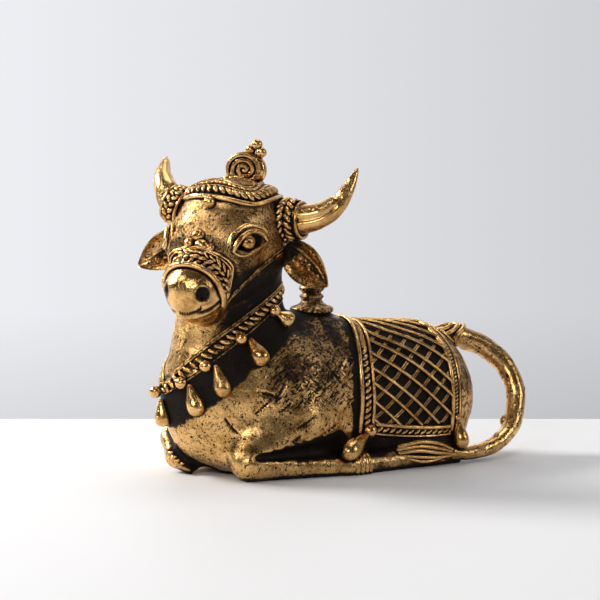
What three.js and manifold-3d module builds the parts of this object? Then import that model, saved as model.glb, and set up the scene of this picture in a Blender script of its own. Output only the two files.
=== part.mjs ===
// Nandi bull figure: a resting bull in brass, cast in one by the lost-wax way.
// Lengths are in millimetres and +Z is up. The bull looks along -X with its head turned
// to its own left, which is -Y. The origin is the middle of the space that it takes, on the ground.

import * as THREE from 'three';
import { mergeVertices } from 'three/addons/utils/BufferGeometryUtils.js';
import Module from 'manifold-3d';

// Size of the whole. Everything below is drawn for a figure about 110 high and follows its height.
const FIGURE_HEIGHT = 110;

// Facets: grid lines along each axis as [from, to, spacing], closer round the head and legs
const GRID = [
  [[-66, -6, 4.3], [-6, 78, 6.8]],
  [[-38, 7, 4.6], [7, 38, 5.3]],
  [[-10, 12, 3.9], [12, 54, 6.4], [54, 108, 4.4]],
];

// Trunk: a stout barrel with chest, hump, haunches and shoulders
const TRUNK = { front: [-12, 0, 26], rear: [43, 0, 25], rFront: 23.5, rRear: 21, wide: 0.93, tall: 1.04 };
const CHEST = { at: [-25, 0, 22], size: [24, 19, 21.5] };
const HUMP = { at: [3, 0, 43], size: [12, 9, 9.5] };
const HAUNCH = { at: [36, 13, 20], size: [23, 10, 20] };
const SHOULDER = { at: [-14, 11, 27], size: [16, 11.5, 19] };
const BRISKET = { from: [-8, 14, 14], to: [-27, 17, 8], rFrom: 9, rTo: 6.5 };
const BELLY = { from: [-14, 9, 7], to: [44, 9, 8], r: 9.5 };

// Farther from the middle line than any surface of the trunk and of the head: marching starts there
const TRUNK_REACH = 40;
const HEAD_REACH = 30;

// Neck and throat
const NECK = { low: [-27, 0, 34], high: [-22.5, -1, 72], rLow: 18, rHigh: 13.5, wide: 0.85 };
const THROAT = { low: [-40, 0, 30], high: [-37.5, -2, 58], rLow: 9, rHigh: 8, wide: 0.9 };

// Legs folded on the ground: the left fore and hind leg meet in one bar
const GROUND_Z = 0.5;
const GROUND_LEG_Z = 3.1;
const LEFT_UPPER_ARM = { from: [-12, -15, 20], to: [-30, -19.8, 6], rFrom: 9, rTo: 5.6 };
const LEFT_SHANK = { knee: [-31, -21.2, 5.8], foot: [4, -25, GROUND_LEG_Z], rKnee: 4.7, rFoot: 3.2 };
const LEFT_HIND = { foot: [4, -25, GROUND_LEG_Z], hock: [48, -19, 4], rFoot: 3.2, rHock: 4.7 };
const RIGHT_UPPER_ARM = { from: [-22, 12, 18], to: [-39.2, 14, 10.8], rFrom: 9, rTo: 5.3 };
const RIGHT_SHANK = { mid: [-42, 8.2, 6.2], foot: [-40.5, 3.2, 3.6], rMid: 4, rFoot: 3.1 };
const RIGHT_HIND = { foot: [8, 24, GROUND_LEG_Z], hock: [48, 19, 4], rFoot: 3.2, rHock: 4.7 };
const ARM_HOLLOW = { from: [-31, -25.5, 8.6], to: [7, -24.5, 9.4], rFrom: 0.6, rTo: 3.2 };

// Head: its own axes run forward, to the bull's left and up from a point between the horns
const HEAD_AT = [-23.2, -1, 86.5];
const HEAD_TURN = 33;
const HEAD_LEAN = 3.5;
const SKULL = { at: [3, 0, -3], size: [18.5, 17, 13.5] };
const CAP = { at: [5, -0.3, 4.2], size: [16.7, 15.3, 7.2] };
const FACE = { from: [11, 0, -6], to: [27, 0, -23], rFrom: 12.5, rTo: 8.6 };
const CHEEK = { from: [4, 9, -14], to: [18, 5, -22], rFrom: 9, rTo: 6.5 };
const BROW = { at: [19, 9.5, -10], size: [7.5, 6.5, 7] };
const MUZZLE = { at: [28.5, 0, -23.5], size: [9, 9.2, 8.6] };
const CHIN = { at: [24, 0, -30], size: [8.5, 7, 5] };
const NOSTRIL = { at: [35.2, 7.2, -24], r: 2.3 };

// Horns with the cuffs round their roots, in the head's axes. The right one is thicker and rises sooner.
const LEFT_HORN = {
  line: [[-0.5, 15, -1], [-0.4, 22.5, -0.6], [-1.8, 28.2, 1], [-4.2, 32.4, 4.4],
    [-7.2, 35, 9.8], [-10.8, 36.2, 16.5]],
  radii: [4.8, 4.6, 4.1, 3.4, 2.4, 0.5],
  cuff: { from: [-1, 13.5, -2], to: [-1.6, 22.4, -1.2], rIn: 7.2, rOut: 5.8 },
};
const RIGHT_HORN = {
  line: [[-0.5, -13, -4.5], [-0.8, -20.5, -1.6], [-0.8, -26.3, 1.4], [-1.2, -28.9, 4.6],
    [-2.6, -30.9, 7.1], [-4.8, -32.7, 9.7], [-7.2, -33.8, 12.1], [-10.3, -34.9, 15.1]],
  radii: [5.4, 5.2, 4.8, 4.2, 3.5, 2.8, 2, 0.5],
  cuff: { from: [-0.8, -20.5, -0.9], to: [-0.8, -27.2, 1.1], rIn: 6.7, rOut: 6 },
};

// Ears and eyes, in the head's axes and mirrored to its right
const EAR = { root: [2, 17.5, -9.5], tip: [4.5, 35.2, -20.8], halfWidth: 6.3, cup: 3.6, thick: 1.5 };
const EYE = { at: [19.8, 14.6, -7.3], along: [-14.9, 4.3, 1.5], half: 7.4, tall: 3.9, rim: 0.75 };
const EYE_BALL = { r: 2.7, sunk: 1.5 };

// Crown: a standing disc with a raised spiral, beads on its rim and round the cap's edge
const DISC = { at: [-1.2, 0.4, 14.5], r: 6.1, thick: 3.4, turns: 2.75, wire: 0.8 };
const DISC_BEADS = [[1, 6.9, 1.6], [4.5, 5.5, 1.9], [3.5, 8.3, 1.8]];
const CAP_BAND = { height: 5.2, width: 4.4, rise: 1.1 };
const FOREHEAD_BEAD = { across: 0.4, height: 4.4, r: 1.9 };
const NOSE_BEADS = [[26.3, -0.4, -6.2], [27.3, -3, -8.6], [27.8, 1.6, -9.1]];
const NOSE_BEAD_R = 1.6;

// Nose band: two planes across the face, told by their distance along it
const NOSE_BAND = { front: 36.2, back: 29.4, rise: 1.6, reach: 112, slope: [0.78, 0, -0.62] };

// Collar: low on the chest, high behind the head. Its band lies above the line of the beads.
// Each place is told by the degrees of its bead, how far the bead stands out, and the degrees of
// the top and the foot of its drop.
const COLLAR = { frontX: -50.6, frontZ: 28.6, tip: 0.7, fold: 0.25, axisX: -28 };
const COLLAR_BAND = { above: 2.4, width: 6.2, rise: 1 };
const COLLAR_DROPS = [[-3, 2, -3, -4], [20, 0.6, 27, 36], [40, 0.6, 50, 60], [80, 0.6, 90, 99],
  [129, 0.6, 133, 143], [-44, 0.6, -52, -61], [-84, 0.6, -94, -103], [-129, 0.6, -133, -143]];
const BEAD_R = 2;
const DROP = { r: 2.9, neck: 1, top: 2.3, foot: 13.6 };

// Saddle cloth: places are told by x and by the turn round the trunk's middle line.
// Its lattice is a grid whose crossings stand up and whose meshes between are sunk.
const CLOTH = { frontX: 10.9, frontRise: 4.7, band: 5.4, rearX: 49.8, rearBand: 3.8, axisZ: 25 };
const HEM = { at: 116, band: 10 };
const RELIEF = { wire: 1.15, field: 0.5, mesh: 0.15, foot: -1.4 };
const LATTICE = { columns: 8, rows: 31 };
const CORNER_BEAD_R = 2.3;
const CORNER_DROP = { r: 2.9, neck: 1.3, reach: [-6.5, -3.4, -8] };
const REAR_DROP = { r: 2.1, neck: 1.5, reach: [0.5, -2.6, -9.5] };

// Knob on the hump
const KNOB = { x: 4.5, sunk: 1.4, disc: 6.9, neck: 3.6, height: 12.5 };

// Anklet of rings where the feet meet
const ANKLET = { from: 4.2, to: 11.4, rings: 4, r: 4.2, wire: 1.05 };

// Tail: from the top of the rump round behind it to the left flank, ending in a tuft
const TAIL_LINE = [[53, 0, 39.8], [62.4, 0, 41], [68, -1, 39.3], [73, -3, 36.8], [78.1, -7, 31.2],
  [79.9, -11, 24], [78.8, -13.5, 17.8], [75.6, -16, 11.2], [69.8, -18.5, 6.9], [61.6, -20.5, 4.2],
  [52, -22.6, 3.7], [46, -23.4, 4.4]];
const TAIL_RADII = [4.4, 4.1, 3.9, 3.6, 3.4, 3.2, 3, 2.8, 2.5, 2.3, 2.2, 2.1];
const TUFT = { from: [50, -23, 4.4], to: [22.5, -25, 8.2], r: 3.1, flat: 0.62 };

// Helpers for points
const add = (a, b) => [a[0] + b[0], a[1] + b[1], a[2] + b[2]];
const sub = (a, b) => [a[0] - b[0], a[1] - b[1], a[2] - b[2]];
const mul = (a, k) => [a[0] * k, a[1] * k, a[2] * k];
const dot = (a, b) => a[0] * b[0] + a[1] * b[1] + a[2] * b[2];
const cross = (a, b) => [a[1] * b[2] - a[2] * b[1], a[2] * b[0] - a[0] * b[2], a[0] * b[1] - a[1] * b[0]];
const length = (a) => Math.hypot(a[0], a[1], a[2]);
const unit = (a) => mul(a, 1 / length(a));
const mix = (a, b, t) => add(mul(a, 1 - t), mul(b, t));
const mirrored = (p) => [p[0], -p[1], p[2]];
const radians = (degrees) => (degrees * Math.PI) / 180;
const range = (count) => Array.from({ length: count }, (v, n) => n);
const between = (from, to, steps) => range(steps + 1).map((n) => from + ((to - from) * n) / steps);

// The head's axes in the figure
const turn = radians(HEAD_TURN);
const lean = radians(HEAD_LEAN);
const level = [Math.sin(turn), -Math.cos(turn), 0];
const FORWARD = [-Math.cos(turn), -Math.sin(turn), 0];
const LEFT = add(mul(level, Math.cos(lean)), [0, 0, -Math.sin(lean)]);
const UP = add(mul(level, Math.sin(lean)), [0, 0, Math.cos(lean)]);
const toHead = (p) => {
  const q = sub(p, HEAD_AT);
  return [dot(q, FORWARD), dot(q, LEFT), dot(q, UP)];
};
const turnFromHead = (q) => add(add(mul(FORWARD, q[0]), mul(LEFT, q[1])), mul(UP, q[2]));
const fromHead = (q) => add(HEAD_AT, turnFromHead(q));

// Distance to an ellipsoid, near enough for blending
function ellipsoid(p, { at, size }) {
  const q = [(p[0] - at[0]) / size[0], (p[1] - at[1]) / size[1], (p[2] - at[2]) / size[2]];
  const near = length(q);
  const steep = length([q[0] / size[0], q[1] / size[1], q[2] / size[2]]);
  return (near * (near - 1)) / Math.max(steep, 1e-6);
}

// Distance to a round limb that runs from a to b and changes its radius on the way
function limb(p, a, b, rA, rB) {
  const ab = sub(b, a);
  const t = Math.min(1, Math.max(0, dot(sub(p, a), ab) / dot(ab, ab)));
  return length(sub(sub(p, a), mul(ab, t))) - (rA + (rB - rA) * t);
}

// The same limb, stretched along the axes
function stretchedLimb(p, a, b, rA, rB, scale) {
  const shrink = (v) => [v[0] / scale[0], v[1] / scale[1], v[2] / scale[2]];
  return limb(shrink(p), shrink(a), shrink(b), rA, rB);
}

// Soft joins and cuts, with a fillet of about the given size
function join(a, b, soft) {
  const h = Math.max(soft - Math.abs(a - b), 0) / soft;
  return Math.min(a, b) - (h * h * soft) / 4;
}
const carve = (a, b, soft) => -join(-a, b, soft);

function trunkField(p) {
  const m = [p[0], Math.abs(p[1]), p[2]];
  let d = stretchedLimb(p, TRUNK.front, TRUNK.rear, TRUNK.rFront, TRUNK.rRear, [1, TRUNK.wide, TRUNK.tall]);
  d = join(d, ellipsoid(p, CHEST), 10);
  d = join(d, ellipsoid(p, HUMP), 8);
  d = join(d, ellipsoid(m, HAUNCH), 8);
  d = join(d, ellipsoid(m, SHOULDER), 8);
  d = join(d, limb(m, BRISKET.from, BRISKET.to, BRISKET.rFrom, BRISKET.rTo), 10);
  return join(d, limb(m, BELLY.from, BELLY.to, BELLY.r, BELLY.r), 8);
}

function neckField(p) {
  const neck = stretchedLimb(p, NECK.low, NECK.high, NECK.rLow, NECK.rHigh, [1, NECK.wide, 1]);
  const throat = stretchedLimb(p, THROAT.low, THROAT.high, THROAT.rLow, THROAT.rHigh, [1, THROAT.wide, 1]);
  return join(neck, throat, 8);
}

function legsField(p) {
  const upperArm = ({ from, to, rFrom, rTo }) => limb(p, from, to, rFrom, rTo);
  let d = upperArm(LEFT_UPPER_ARM);
  d = join(d, limb(p, LEFT_SHANK.knee, LEFT_SHANK.foot, LEFT_SHANK.rKnee, LEFT_SHANK.rFoot), 2);
  d = join(d, limb(p, LEFT_HIND.foot, LEFT_HIND.hock, LEFT_HIND.rFoot, LEFT_HIND.rHock), 2);
  d = join(d, upperArm(RIGHT_UPPER_ARM), 3);
  d = join(d, limb(p, RIGHT_UPPER_ARM.to, RIGHT_SHANK.mid, RIGHT_UPPER_ARM.rTo, RIGHT_SHANK.rMid), 1.5);
  d = join(d, limb(p, RIGHT_SHANK.mid, RIGHT_SHANK.foot, RIGHT_SHANK.rMid, RIGHT_SHANK.rFoot), 1.5);
  return join(d, limb(p, RIGHT_HIND.foot, RIGHT_HIND.hock, RIGHT_HIND.rFoot, RIGHT_HIND.rHock), 2);
}

function headField(q) {
  const m = [q[0], Math.abs(q[1]), q[2]];
  let d = ellipsoid(m, SKULL);
  d = join(d, limb(m, FACE.from, FACE.to, FACE.rFrom, FACE.rTo), 8);
  d = join(d, ellipsoid(m, BROW), 5);
  d = join(d, limb(m, CHEEK.from, CHEEK.to, CHEEK.rFrom, CHEEK.rTo), 6);
  d = join(d, ellipsoid(m, MUZZLE), 3);
  d = join(d, ellipsoid(m, CHIN), 3);
  d = join(d, ellipsoid(m, CAP), 1);
  return d;
}

function bodyField(p) {
  let d = join(trunkField(p), neckField(p), 9);
  d = join(d, legsField(p), 4);
  d = carve(d, limb(p, ARM_HOLLOW.from, ARM_HOLLOW.to, ARM_HOLLOW.rFrom, ARM_HOLLOW.rTo), 1.5);
  return join(d, headField(toHead(p)), 5);
}

const headOnly = (p) => headField(toHead(p));

// Outward direction of a field at a point
function slope(field, p) {
  const e = 0.2;
  const along = (v) => field(add(p, v)) - field(sub(p, v));
  return unit([along([e, 0, 0]), along([0, e, 0]), along([0, 0, e])]);
}

// First point of the surface on the way from an outside point towards an inside one
function surfaceFrom(field, outside, inside) {
  const way = unit(sub(inside, outside));
  const limit = length(sub(inside, outside));
  let t = 0;
  for (let i = 0; i < 90 && t < limit; i += 1) {
    const d = field(add(outside, mul(way, t)));
    if (Math.abs(d) < 0.02) break;
    t += d * 0.8;
  }
  return add(outside, mul(way, t));
}

// Facets a field on a grid of cells: one vertex for each sheet of the surface in a cell,
// placed at the mean of its crossings and then drawn onto the surface
function facet(field, grid) {
  const lines = grid.map((spans) => [...new Set(spans.flatMap(([from, to, step]) => (
    between(from, to, Math.ceil((to - from) / step)))))]);
  const count = lines.map((line) => line.length);
  const index = (i, j, k) => (i * count[1] + j) * count[2] + k;
  const place = (i, j, k) => [lines[0][i], lines[1][j], lines[2][k]];
  const value = new Float64Array(count[0] * count[1] * count[2]);
  for (let i = 0; i < count[0]; i += 1) {
    for (let j = 0; j < count[1]; j += 1) {
      for (let k = 0; k < count[2]; k += 1) value[index(i, j, k)] = field(place(i, j, k)) || 1e-6;
    }
  }
  const corner = [0, 1, 2, 3, 4, 5, 6, 7].map((c) => [c & 1, (c >> 1) & 1, (c >> 2) & 1]);
  const edges = [];
  for (let a = 0; a < 8; a += 1) {
    for (let axis = 0; axis < 3; axis += 1) if (!corner[a][axis]) edges.push([a, a | (1 << axis), axis]);
  }
  const faces = [];
  for (let axis = 0; axis < 3; axis += 1) {
    for (let side = 0; side < 2; side += 1) {
      const onSide = (n) => edges[n].slice(0, 2).every((c) => corner[c][axis] === side);
      faces.push(edges.map((e, n) => n).filter(onSide));
    }
  }
  const points = [];
  const sheetOfEdge = new Map();
  for (let i = 0; i < count[0] - 1; i += 1) {
    for (let j = 0; j < count[1] - 1; j += 1) {
      for (let k = 0; k < count[2] - 1; k += 1) {
        const at = corner.map(([a, b, c]) => value[index(i + a, j + b, k + c)]);
        const crossed = edges.map(([a, b]) => at[a] < 0 !== at[b] < 0);
        if (!crossed.some(Boolean)) continue;
        const group = edges.map((e, n) => n);
        const root = (n) => (group[n] === n ? n : root(group[n]));
        for (const face of faces) {
          const cut = face.filter((n) => crossed[n]);
          if (cut.length === 2) group[root(cut[0])] = root(cut[1]);
          if (cut.length !== 4) continue;
          for (let c = 0; c < 8; c += 1) {
            const pair = at[c] < 0 ? cut.filter((n) => edges[n][0] === c || edges[n][1] === c) : [];
            if (pair.length === 2) group[root(pair[0])] = root(pair[1]);
          }
        }
        const sheets = new Map();
        edges.forEach(([a, b, axis], n) => {
          if (!crossed[n]) return;
          const t = at[a] / (at[a] - at[b]);
          const pa = place(i + corner[a][0], j + corner[a][1], k + corner[a][2]);
          const pb = place(i + corner[b][0], j + corner[b][1], k + corner[b][2]);
          const key = root(n);
          if (!sheets.has(key)) sheets.set(key, { sum: [0, 0, 0], many: 0, edges: [] });
          const sheet = sheets.get(key);
          sheet.sum = add(sheet.sum, mix(pa, pb, t));
          sheet.many += 1;
          sheet.edges.push([index(i + corner[a][0], j + corner[a][1], k + corner[a][2]), axis]);
        });
        for (const sheet of sheets.values()) {
          let p = mul(sheet.sum, 1 / sheet.many);
          for (let step = 0; step < 2; step += 1) {
            const d = Math.max(-1, Math.min(1, field(p)));
            p = sub(p, mul(slope(field, p), d));
          }
          for (const [start, axis] of sheet.edges) {
            sheetOfEdge.set(`${start},${axis},${i},${j},${k}`, points.length);
          }
          points.push(p);
        }
      }
    }
  }
  const triangles = [];
  const quad = (a, b, c, d) => {
    const near = length(sub(points[a], points[c])) < length(sub(points[b], points[d]));
    if (near) triangles.push([a, b, c], [a, c, d]);
    else triangles.push([b, c, d], [b, d, a]);
  };
  for (let i = 1; i < count[0] - 1; i += 1) {
    for (let j = 1; j < count[1] - 1; j += 1) {
      for (let k = 1; k < count[2] - 1; k += 1) {
        const start = index(i, j, k);
        const step = [[1, 0, 0], [0, 1, 0], [0, 0, 1]];
        for (let axis = 0; axis < 3; axis += 1) {
          const end = index(i + step[axis][0], j + step[axis][1], k + step[axis][2]);
          if (value[start] < 0 === value[end] < 0) continue;
          const u = step[(axis + 1) % 3];
          const v = step[(axis + 2) % 3];
          const ring = [[1, 1], [0, 1], [0, 0], [1, 0]].map(([a, b]) => {
            const cellAt = [i - a * u[0] - b * v[0], j - a * u[1] - b * v[1], k - a * u[2] - b * v[2]];
            return sheetOfEdge.get(`${start},${axis},${cellAt.join(',')}`);
          });
          if (value[start] < 0) quad(...ring);
          else quad(...ring.reverse());
        }
      }
    }
  }
  return geometryOf(points, triangles);
}

function geometryOf(points, triangles) {
  const geometry = new THREE.BufferGeometry();
  geometry.setAttribute('position', new THREE.Float32BufferAttribute(points.flat(), 3));
  geometry.setIndex(triangles.flat());
  return geometry;
}

// Skins a row of rings of points into a closed solid, with a fan over each open end
function skin(rings, closed = false) {
  const sides = rings[0].length;
  const points = rings.flat();
  const triangles = [];
  const last = closed ? rings.length : rings.length - 1;
  for (let r = 0; r < last; r += 1) {
    for (let s = 0; s < sides; s += 1) {
      const a = r * sides + s;
      const b = r * sides + ((s + 1) % sides);
      const c = ((r + 1) % rings.length) * sides + ((s + 1) % sides);
      const d = ((r + 1) % rings.length) * sides + s;
      triangles.push([a, b, c], [a, c, d]);
    }
  }
  if (!closed) {
    const middle = (ring) => mul(ring.reduce(add), 1 / sides);
    const first = points.length;
    points.push(middle(rings[0]), middle(rings[rings.length - 1]));
    const start = (rings.length - 1) * sides;
    for (let s = 0; s < sides; s += 1) {
      triangles.push([first, (s + 1) % sides, s], [first + 1, start + s, start + ((s + 1) % sides)]);
    }
  }
  return geometryOf(points, triangles);
}

// Carries a section over a surface. pointAt(t, s) is the surface's point at the share t along the
// strap and s across it, and a section point is [s, height above the surface].
function strap(field, pointAt, steps, section, closed = false) {
  const rings = range(closed ? steps : steps + 1).map((n) => section.map(([s, h]) => {
    const p = pointAt(n / steps, s);
    return add(p, mul(slope(field, p), h));
  }));
  return facesOutward(skin(rings, closed));
}

// Section of a strap: two raised edges with a lower field between, its foot sunk in the body
const strapSection = (rise) => [[-0.5, -1.3], [-0.45, rise], [-0.26, 0.45 * rise],
  [0.26, 0.45 * rise], [0.45, rise], [0.5, -1.3]];

// A round limb along a smooth line, its radius changing from point to point
function taper(line, radii, sides, steps, flat = 1, flatWay = [0, 0, 1]) {
  const curve = new THREE.CatmullRomCurve3(line.map((p) => new THREE.Vector3(...p)), false, 'centripetal');
  const rings = [];
  for (let n = 0; n <= steps; n += 1) {
    const t = n / steps;
    const p = curve.getPoint(t).toArray();
    const along = curve.getTangent(t).toArray();
    const across = unit(cross(flatWay, along));
    const out = cross(along, across);
    const place = t * (radii.length - 1);
    const whole = Math.min(radii.length - 2, Math.floor(place));
    const r = radii[whole] + (radii[whole + 1] - radii[whole]) * (place - whole);
    const ring = [];
    for (let s = 0; s < sides; s += 1) {
      const a = (s / sides) * 2 * Math.PI;
      ring.push(add(p, add(mul(across, r * Math.cos(a)), mul(out, r * flat * Math.sin(a)))));
    }
    rings.push(ring);
  }
  return skin(rings);
}

// A turned shape: profile points are [radius, height], set up along an axis from a point
function turned(profile, sides, at, axis) {
  const geometry = new THREE.LatheGeometry(profile.map(([r, h]) => new THREE.Vector2(r, h)), sides);
  const up = new THREE.Vector3(...axis).normalize();
  geometry.applyQuaternion(new THREE.Quaternion().setFromUnitVectors(new THREE.Vector3(0, 1, 0), up));
  geometry.translate(...at);
  return geometry;
}

function ball(at, r, sides = 6, rows = 4) {
  const geometry = new THREE.SphereGeometry(r, sides, rows);
  geometry.translate(...at);
  return geometry;
}

// A drop between two points: a thin neck that widens evenly to a round foot
function drop(from, to, { r, neck }) {
  const long = length(sub(to, from));
  const shape = [[0, 0], [neck, 0.06], [r * 0.72, 0.36], [r, 0.66], [r * 0.8, 0.88], [0, 1]];
  return turned(shape.map(([radius, t]) => [radius, t * long]), 6, from, sub(to, from));
}

// manifold-3d does the joining
const wasm = await Module();
wasm.setup();

function solid(geometry) {
  const bare = new THREE.BufferGeometry();
  bare.setAttribute('position', geometry.getAttribute('position').clone());
  if (geometry.index) bare.setIndex(geometry.index.clone());
  const welded = mergeVertices(bare, 1e-4);
  const triangles = [];
  for (let n = 0; n < welded.index.count; n += 3) {
    const [a, b, c] = [0, 1, 2].map((m) => welded.index.getX(n + m));
    if (a !== b && b !== c && a !== c) triangles.push(a, b, c);
  }
  return new wasm.Manifold(new wasm.Mesh({
    numProp: 3,
    vertProperties: new Float32Array(welded.getAttribute('position').array),
    triVerts: new Uint32Array(triangles),
  }));
}

const pieces = [];
const put = (geometry) => pieces.push(solid(geometry));

// Turns a closed solid right side out if its volume comes out negative
function facesOutward(geometry) {
  const position = geometry.getAttribute('position');
  const index = geometry.index;
  const at = (n) => [position.getX(n), position.getY(n), position.getZ(n)];
  let volume = 0;
  for (let n = 0; n < index.count; n += 3) {
    volume += dot(at(index.getX(n)), cross(at(index.getX(n + 1)), at(index.getX(n + 2))));
  }
  if (volume < 0) {
    for (let n = 0; n < index.count; n += 3) {
      const a = index.getX(n);
      index.setX(n, index.getX(n + 1));
      index.setX(n + 1, a);
    }
  }
  return geometry;
}

// Bulk of the bull
put(facet(bodyField, GRID));

// An ear is a cupped leaf: its mid line from root to tip, its edges turned forward
function ear(own) {
  const along = unit(sub(EAR.tip, EAR.root));
  const across = unit(cross(along, [1, 0, 0]));
  const rings = between(0, 1, 6).map((t) => {
    const half = EAR.halfWidth * Math.sin(Math.PI * (0.13 + 0.84 * t)) ** 0.8;
    const middle = mix(EAR.root, EAR.tip, t);
    const cup = (s) => EAR.cup * (s * s - 1) * (half / EAR.halfWidth);
    const front = between(-1, 1, 4).map((s) => add(add(middle, mul(across, half * s)), [cup(s), 0, 0]));
    const back = front.map((p, n) => sub(p, [EAR.thick * (n % 4 ? 1.3 : 0.8), 0, 0]));
    return [...front, ...back.reverse()].map(own);
  });
  return facesOutward(skin(rings));
}

// An eye: an almond rim laid round a ball
function eyeRim(own) {
  const middle = EYE.at;
  const along = unit(EYE.along);
  const out = unit(cross(along, cross([0.4, 1, 0.15], along)));
  const rise = cross(out, along);
  const pointAt = (t, s) => {
    const a = t * 2 * Math.PI;
    const tall = (EYE.tall + s) * Math.sin(a) * Math.abs(Math.sin(a)) ** 0.25;
    const p = add(middle, add(mul(along, (EYE.half + s) * Math.cos(a)), mul(rise, tall)));
    return surfaceFrom(headOnly, own(add(p, mul(out, 8))), own(sub(p, mul(out, 12))));
  };
  return strap(headOnly, pointAt, 11, [[-EYE.rim, -0.8], [0, EYE.rim * 1.5], [EYE.rim, -0.8]], true);
}

// Horns with the cuffs round their roots
for (const { line, radii, cuff } of [LEFT_HORN, RIGHT_HORN]) {
  put(taper(line.map(fromHead), radii, 8, 8));
  const [start, end] = [fromHead(cuff.from), fromHead(cuff.to)];
  const wide = length(sub(end, start));
  const profile = [[0, 0], [cuff.rIn * 0.9, 0], [cuff.rIn, wide * 0.2], [cuff.rIn, wide * 0.55],
    [cuff.rOut, wide * 0.9], [cuff.rOut * 0.85, wide], [0, wide]];
  put(turned(profile, 11, start, sub(end, start)));
}

// Ears and eyes
for (const side of [1, -1]) {
  const own = (q) => fromHead([q[0], q[1] * side, q[2]]);
  put(ear(own));
  put(eyeRim(own));
  const eyeSurface = surfaceFrom(headOnly, own(add(EYE.at, [3, 8, 1])), own(sub(EYE.at, [3, 8, 1])));
  put(ball(sub(eyeSurface, mul(slope(headOnly, eyeSurface), EYE_BALL.sunk)), EYE_BALL.r));
}

// Crown: the standing disc with its spiral and the beads on its rim
const discBack = fromHead(sub(DISC.at, [DISC.thick / 2, 0, 0]));
const discRim = DISC.r + DISC.wire;
const discProfile = [
  [0, 0], [discRim, 0], [discRim, DISC.thick * 0.8], [DISC.r, DISC.thick], [0, DISC.thick],
];
put(turned(discProfile, 20, discBack, FORWARD));
const spiral = new THREE.CatmullRomCurve3(between(0, 1, 33).map((t) => {
  const a = t * DISC.turns * 2 * Math.PI + Math.PI * 0.4;
  const r = 0.7 + (DISC.r - 0.7) * t;
  return new THREE.Vector3(...fromHead(add(DISC.at, [DISC.thick / 2, r * Math.cos(a), r * Math.sin(a)])));
}));
const wireShape = new THREE.Shape(range(4).map((n) => new THREE.Vector2(
  DISC.wire * Math.cos((n * Math.PI) / 2), DISC.wire * Math.sin((n * Math.PI) / 2))));
put(new THREE.ExtrudeGeometry(wireShape, { steps: 33, bevelEnabled: false, extrudePath: spiral }));
for (const [across, high, r] of DISC_BEADS) put(ball(fromHead(add(DISC.at, [0, across, high])), r));

// Edge of the cap, with the bead on the forehead
const capPoint = (t, s) => {
  const middle = [CAP.at[0], 0, CAP_BAND.height + s * CAP_BAND.width];
  const way = [Math.cos(t * 2 * Math.PI), Math.sin(t * 2 * Math.PI), 0];
  return surfaceFrom(headOnly, fromHead(add(middle, mul(way, HEAD_REACH))), fromHead(middle));
};
put(strap(headOnly, capPoint, 22, strapSection(CAP_BAND.rise), true));
const { across: beadAcross, height: beadHeight, r: beadR } = FOREHEAD_BEAD;
const beadStart = fromHead([HEAD_REACH, beadAcross, beadHeight]);
put(ball(surfaceFrom(headOnly, beadStart, fromHead([0, beadAcross, beadHeight])), beadR));

// Nose band with the group of beads above it
const faceStart = dot(FACE.from, NOSE_BAND.slope);
const faceEnd = dot(FACE.to, NOSE_BAND.slope);
const bridge = unit([-NOSE_BAND.slope[2], 0, NOSE_BAND.slope[0]]);
const nosePoint = (t, s) => {
  const place = NOSE_BAND.back + (NOSE_BAND.front - NOSE_BAND.back) * (s + 0.5);
  const middle = mix(FACE.from, FACE.to, (place - faceStart) / (faceEnd - faceStart));
  const around = radians(NOSE_BAND.reach * (2 * t - 1));
  const way = add(mul(bridge, Math.cos(around)), [0, Math.sin(around), 0]);
  return surfaceFrom(headOnly, fromHead(add(middle, mul(way, HEAD_REACH))), fromHead(middle));
};
put(strap(headOnly, nosePoint, 12, strapSection(NOSE_BAND.rise)));
for (const q of NOSE_BEADS) {
  const out = mul(bridge, HEAD_REACH);
  put(ball(surfaceFrom(headOnly, fromHead(add(q, out)), fromHead(sub(q, out))), NOSE_BEAD_R));
}

// Collar round the neck with its beads and drops. It tips up to the back and folds up to both sides,
// so its height is found together with its place on the neck.
function collarPoint(degrees, down = 0) {
  const way = [-Math.cos(radians(degrees)), -Math.sin(radians(degrees)), 0];
  let p = [COLLAR.axisX + way[0] * 18, way[1] * 18, 0];
  for (let n = 0; n < 6; n += 1) {
    const z = COLLAR.frontZ + COLLAR.tip * (p[0] - COLLAR.frontX) + COLLAR.fold * Math.abs(p[1]) - down;
    const middle = [COLLAR.axisX, 0, z];
    p = surfaceFrom(bodyField, add(middle, mul(way, TRUNK_REACH)), middle);
  }
  return p;
}
const collarAt = (t, s) => collarPoint(t * 360, s * COLLAR_BAND.width - COLLAR_BAND.above);
put(strap(bodyField, collarAt, 22, strapSection(COLLAR_BAND.rise), true));
for (const [bead, out, top, foot] of COLLAR_DROPS) {
  const p = collarPoint(bead);
  put(ball(add(p, mul(slope(bodyField, p), out)), BEAD_R));
  put(drop(collarPoint(top, DROP.top), collarPoint(foot, DROP.foot), DROP));
}

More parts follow.
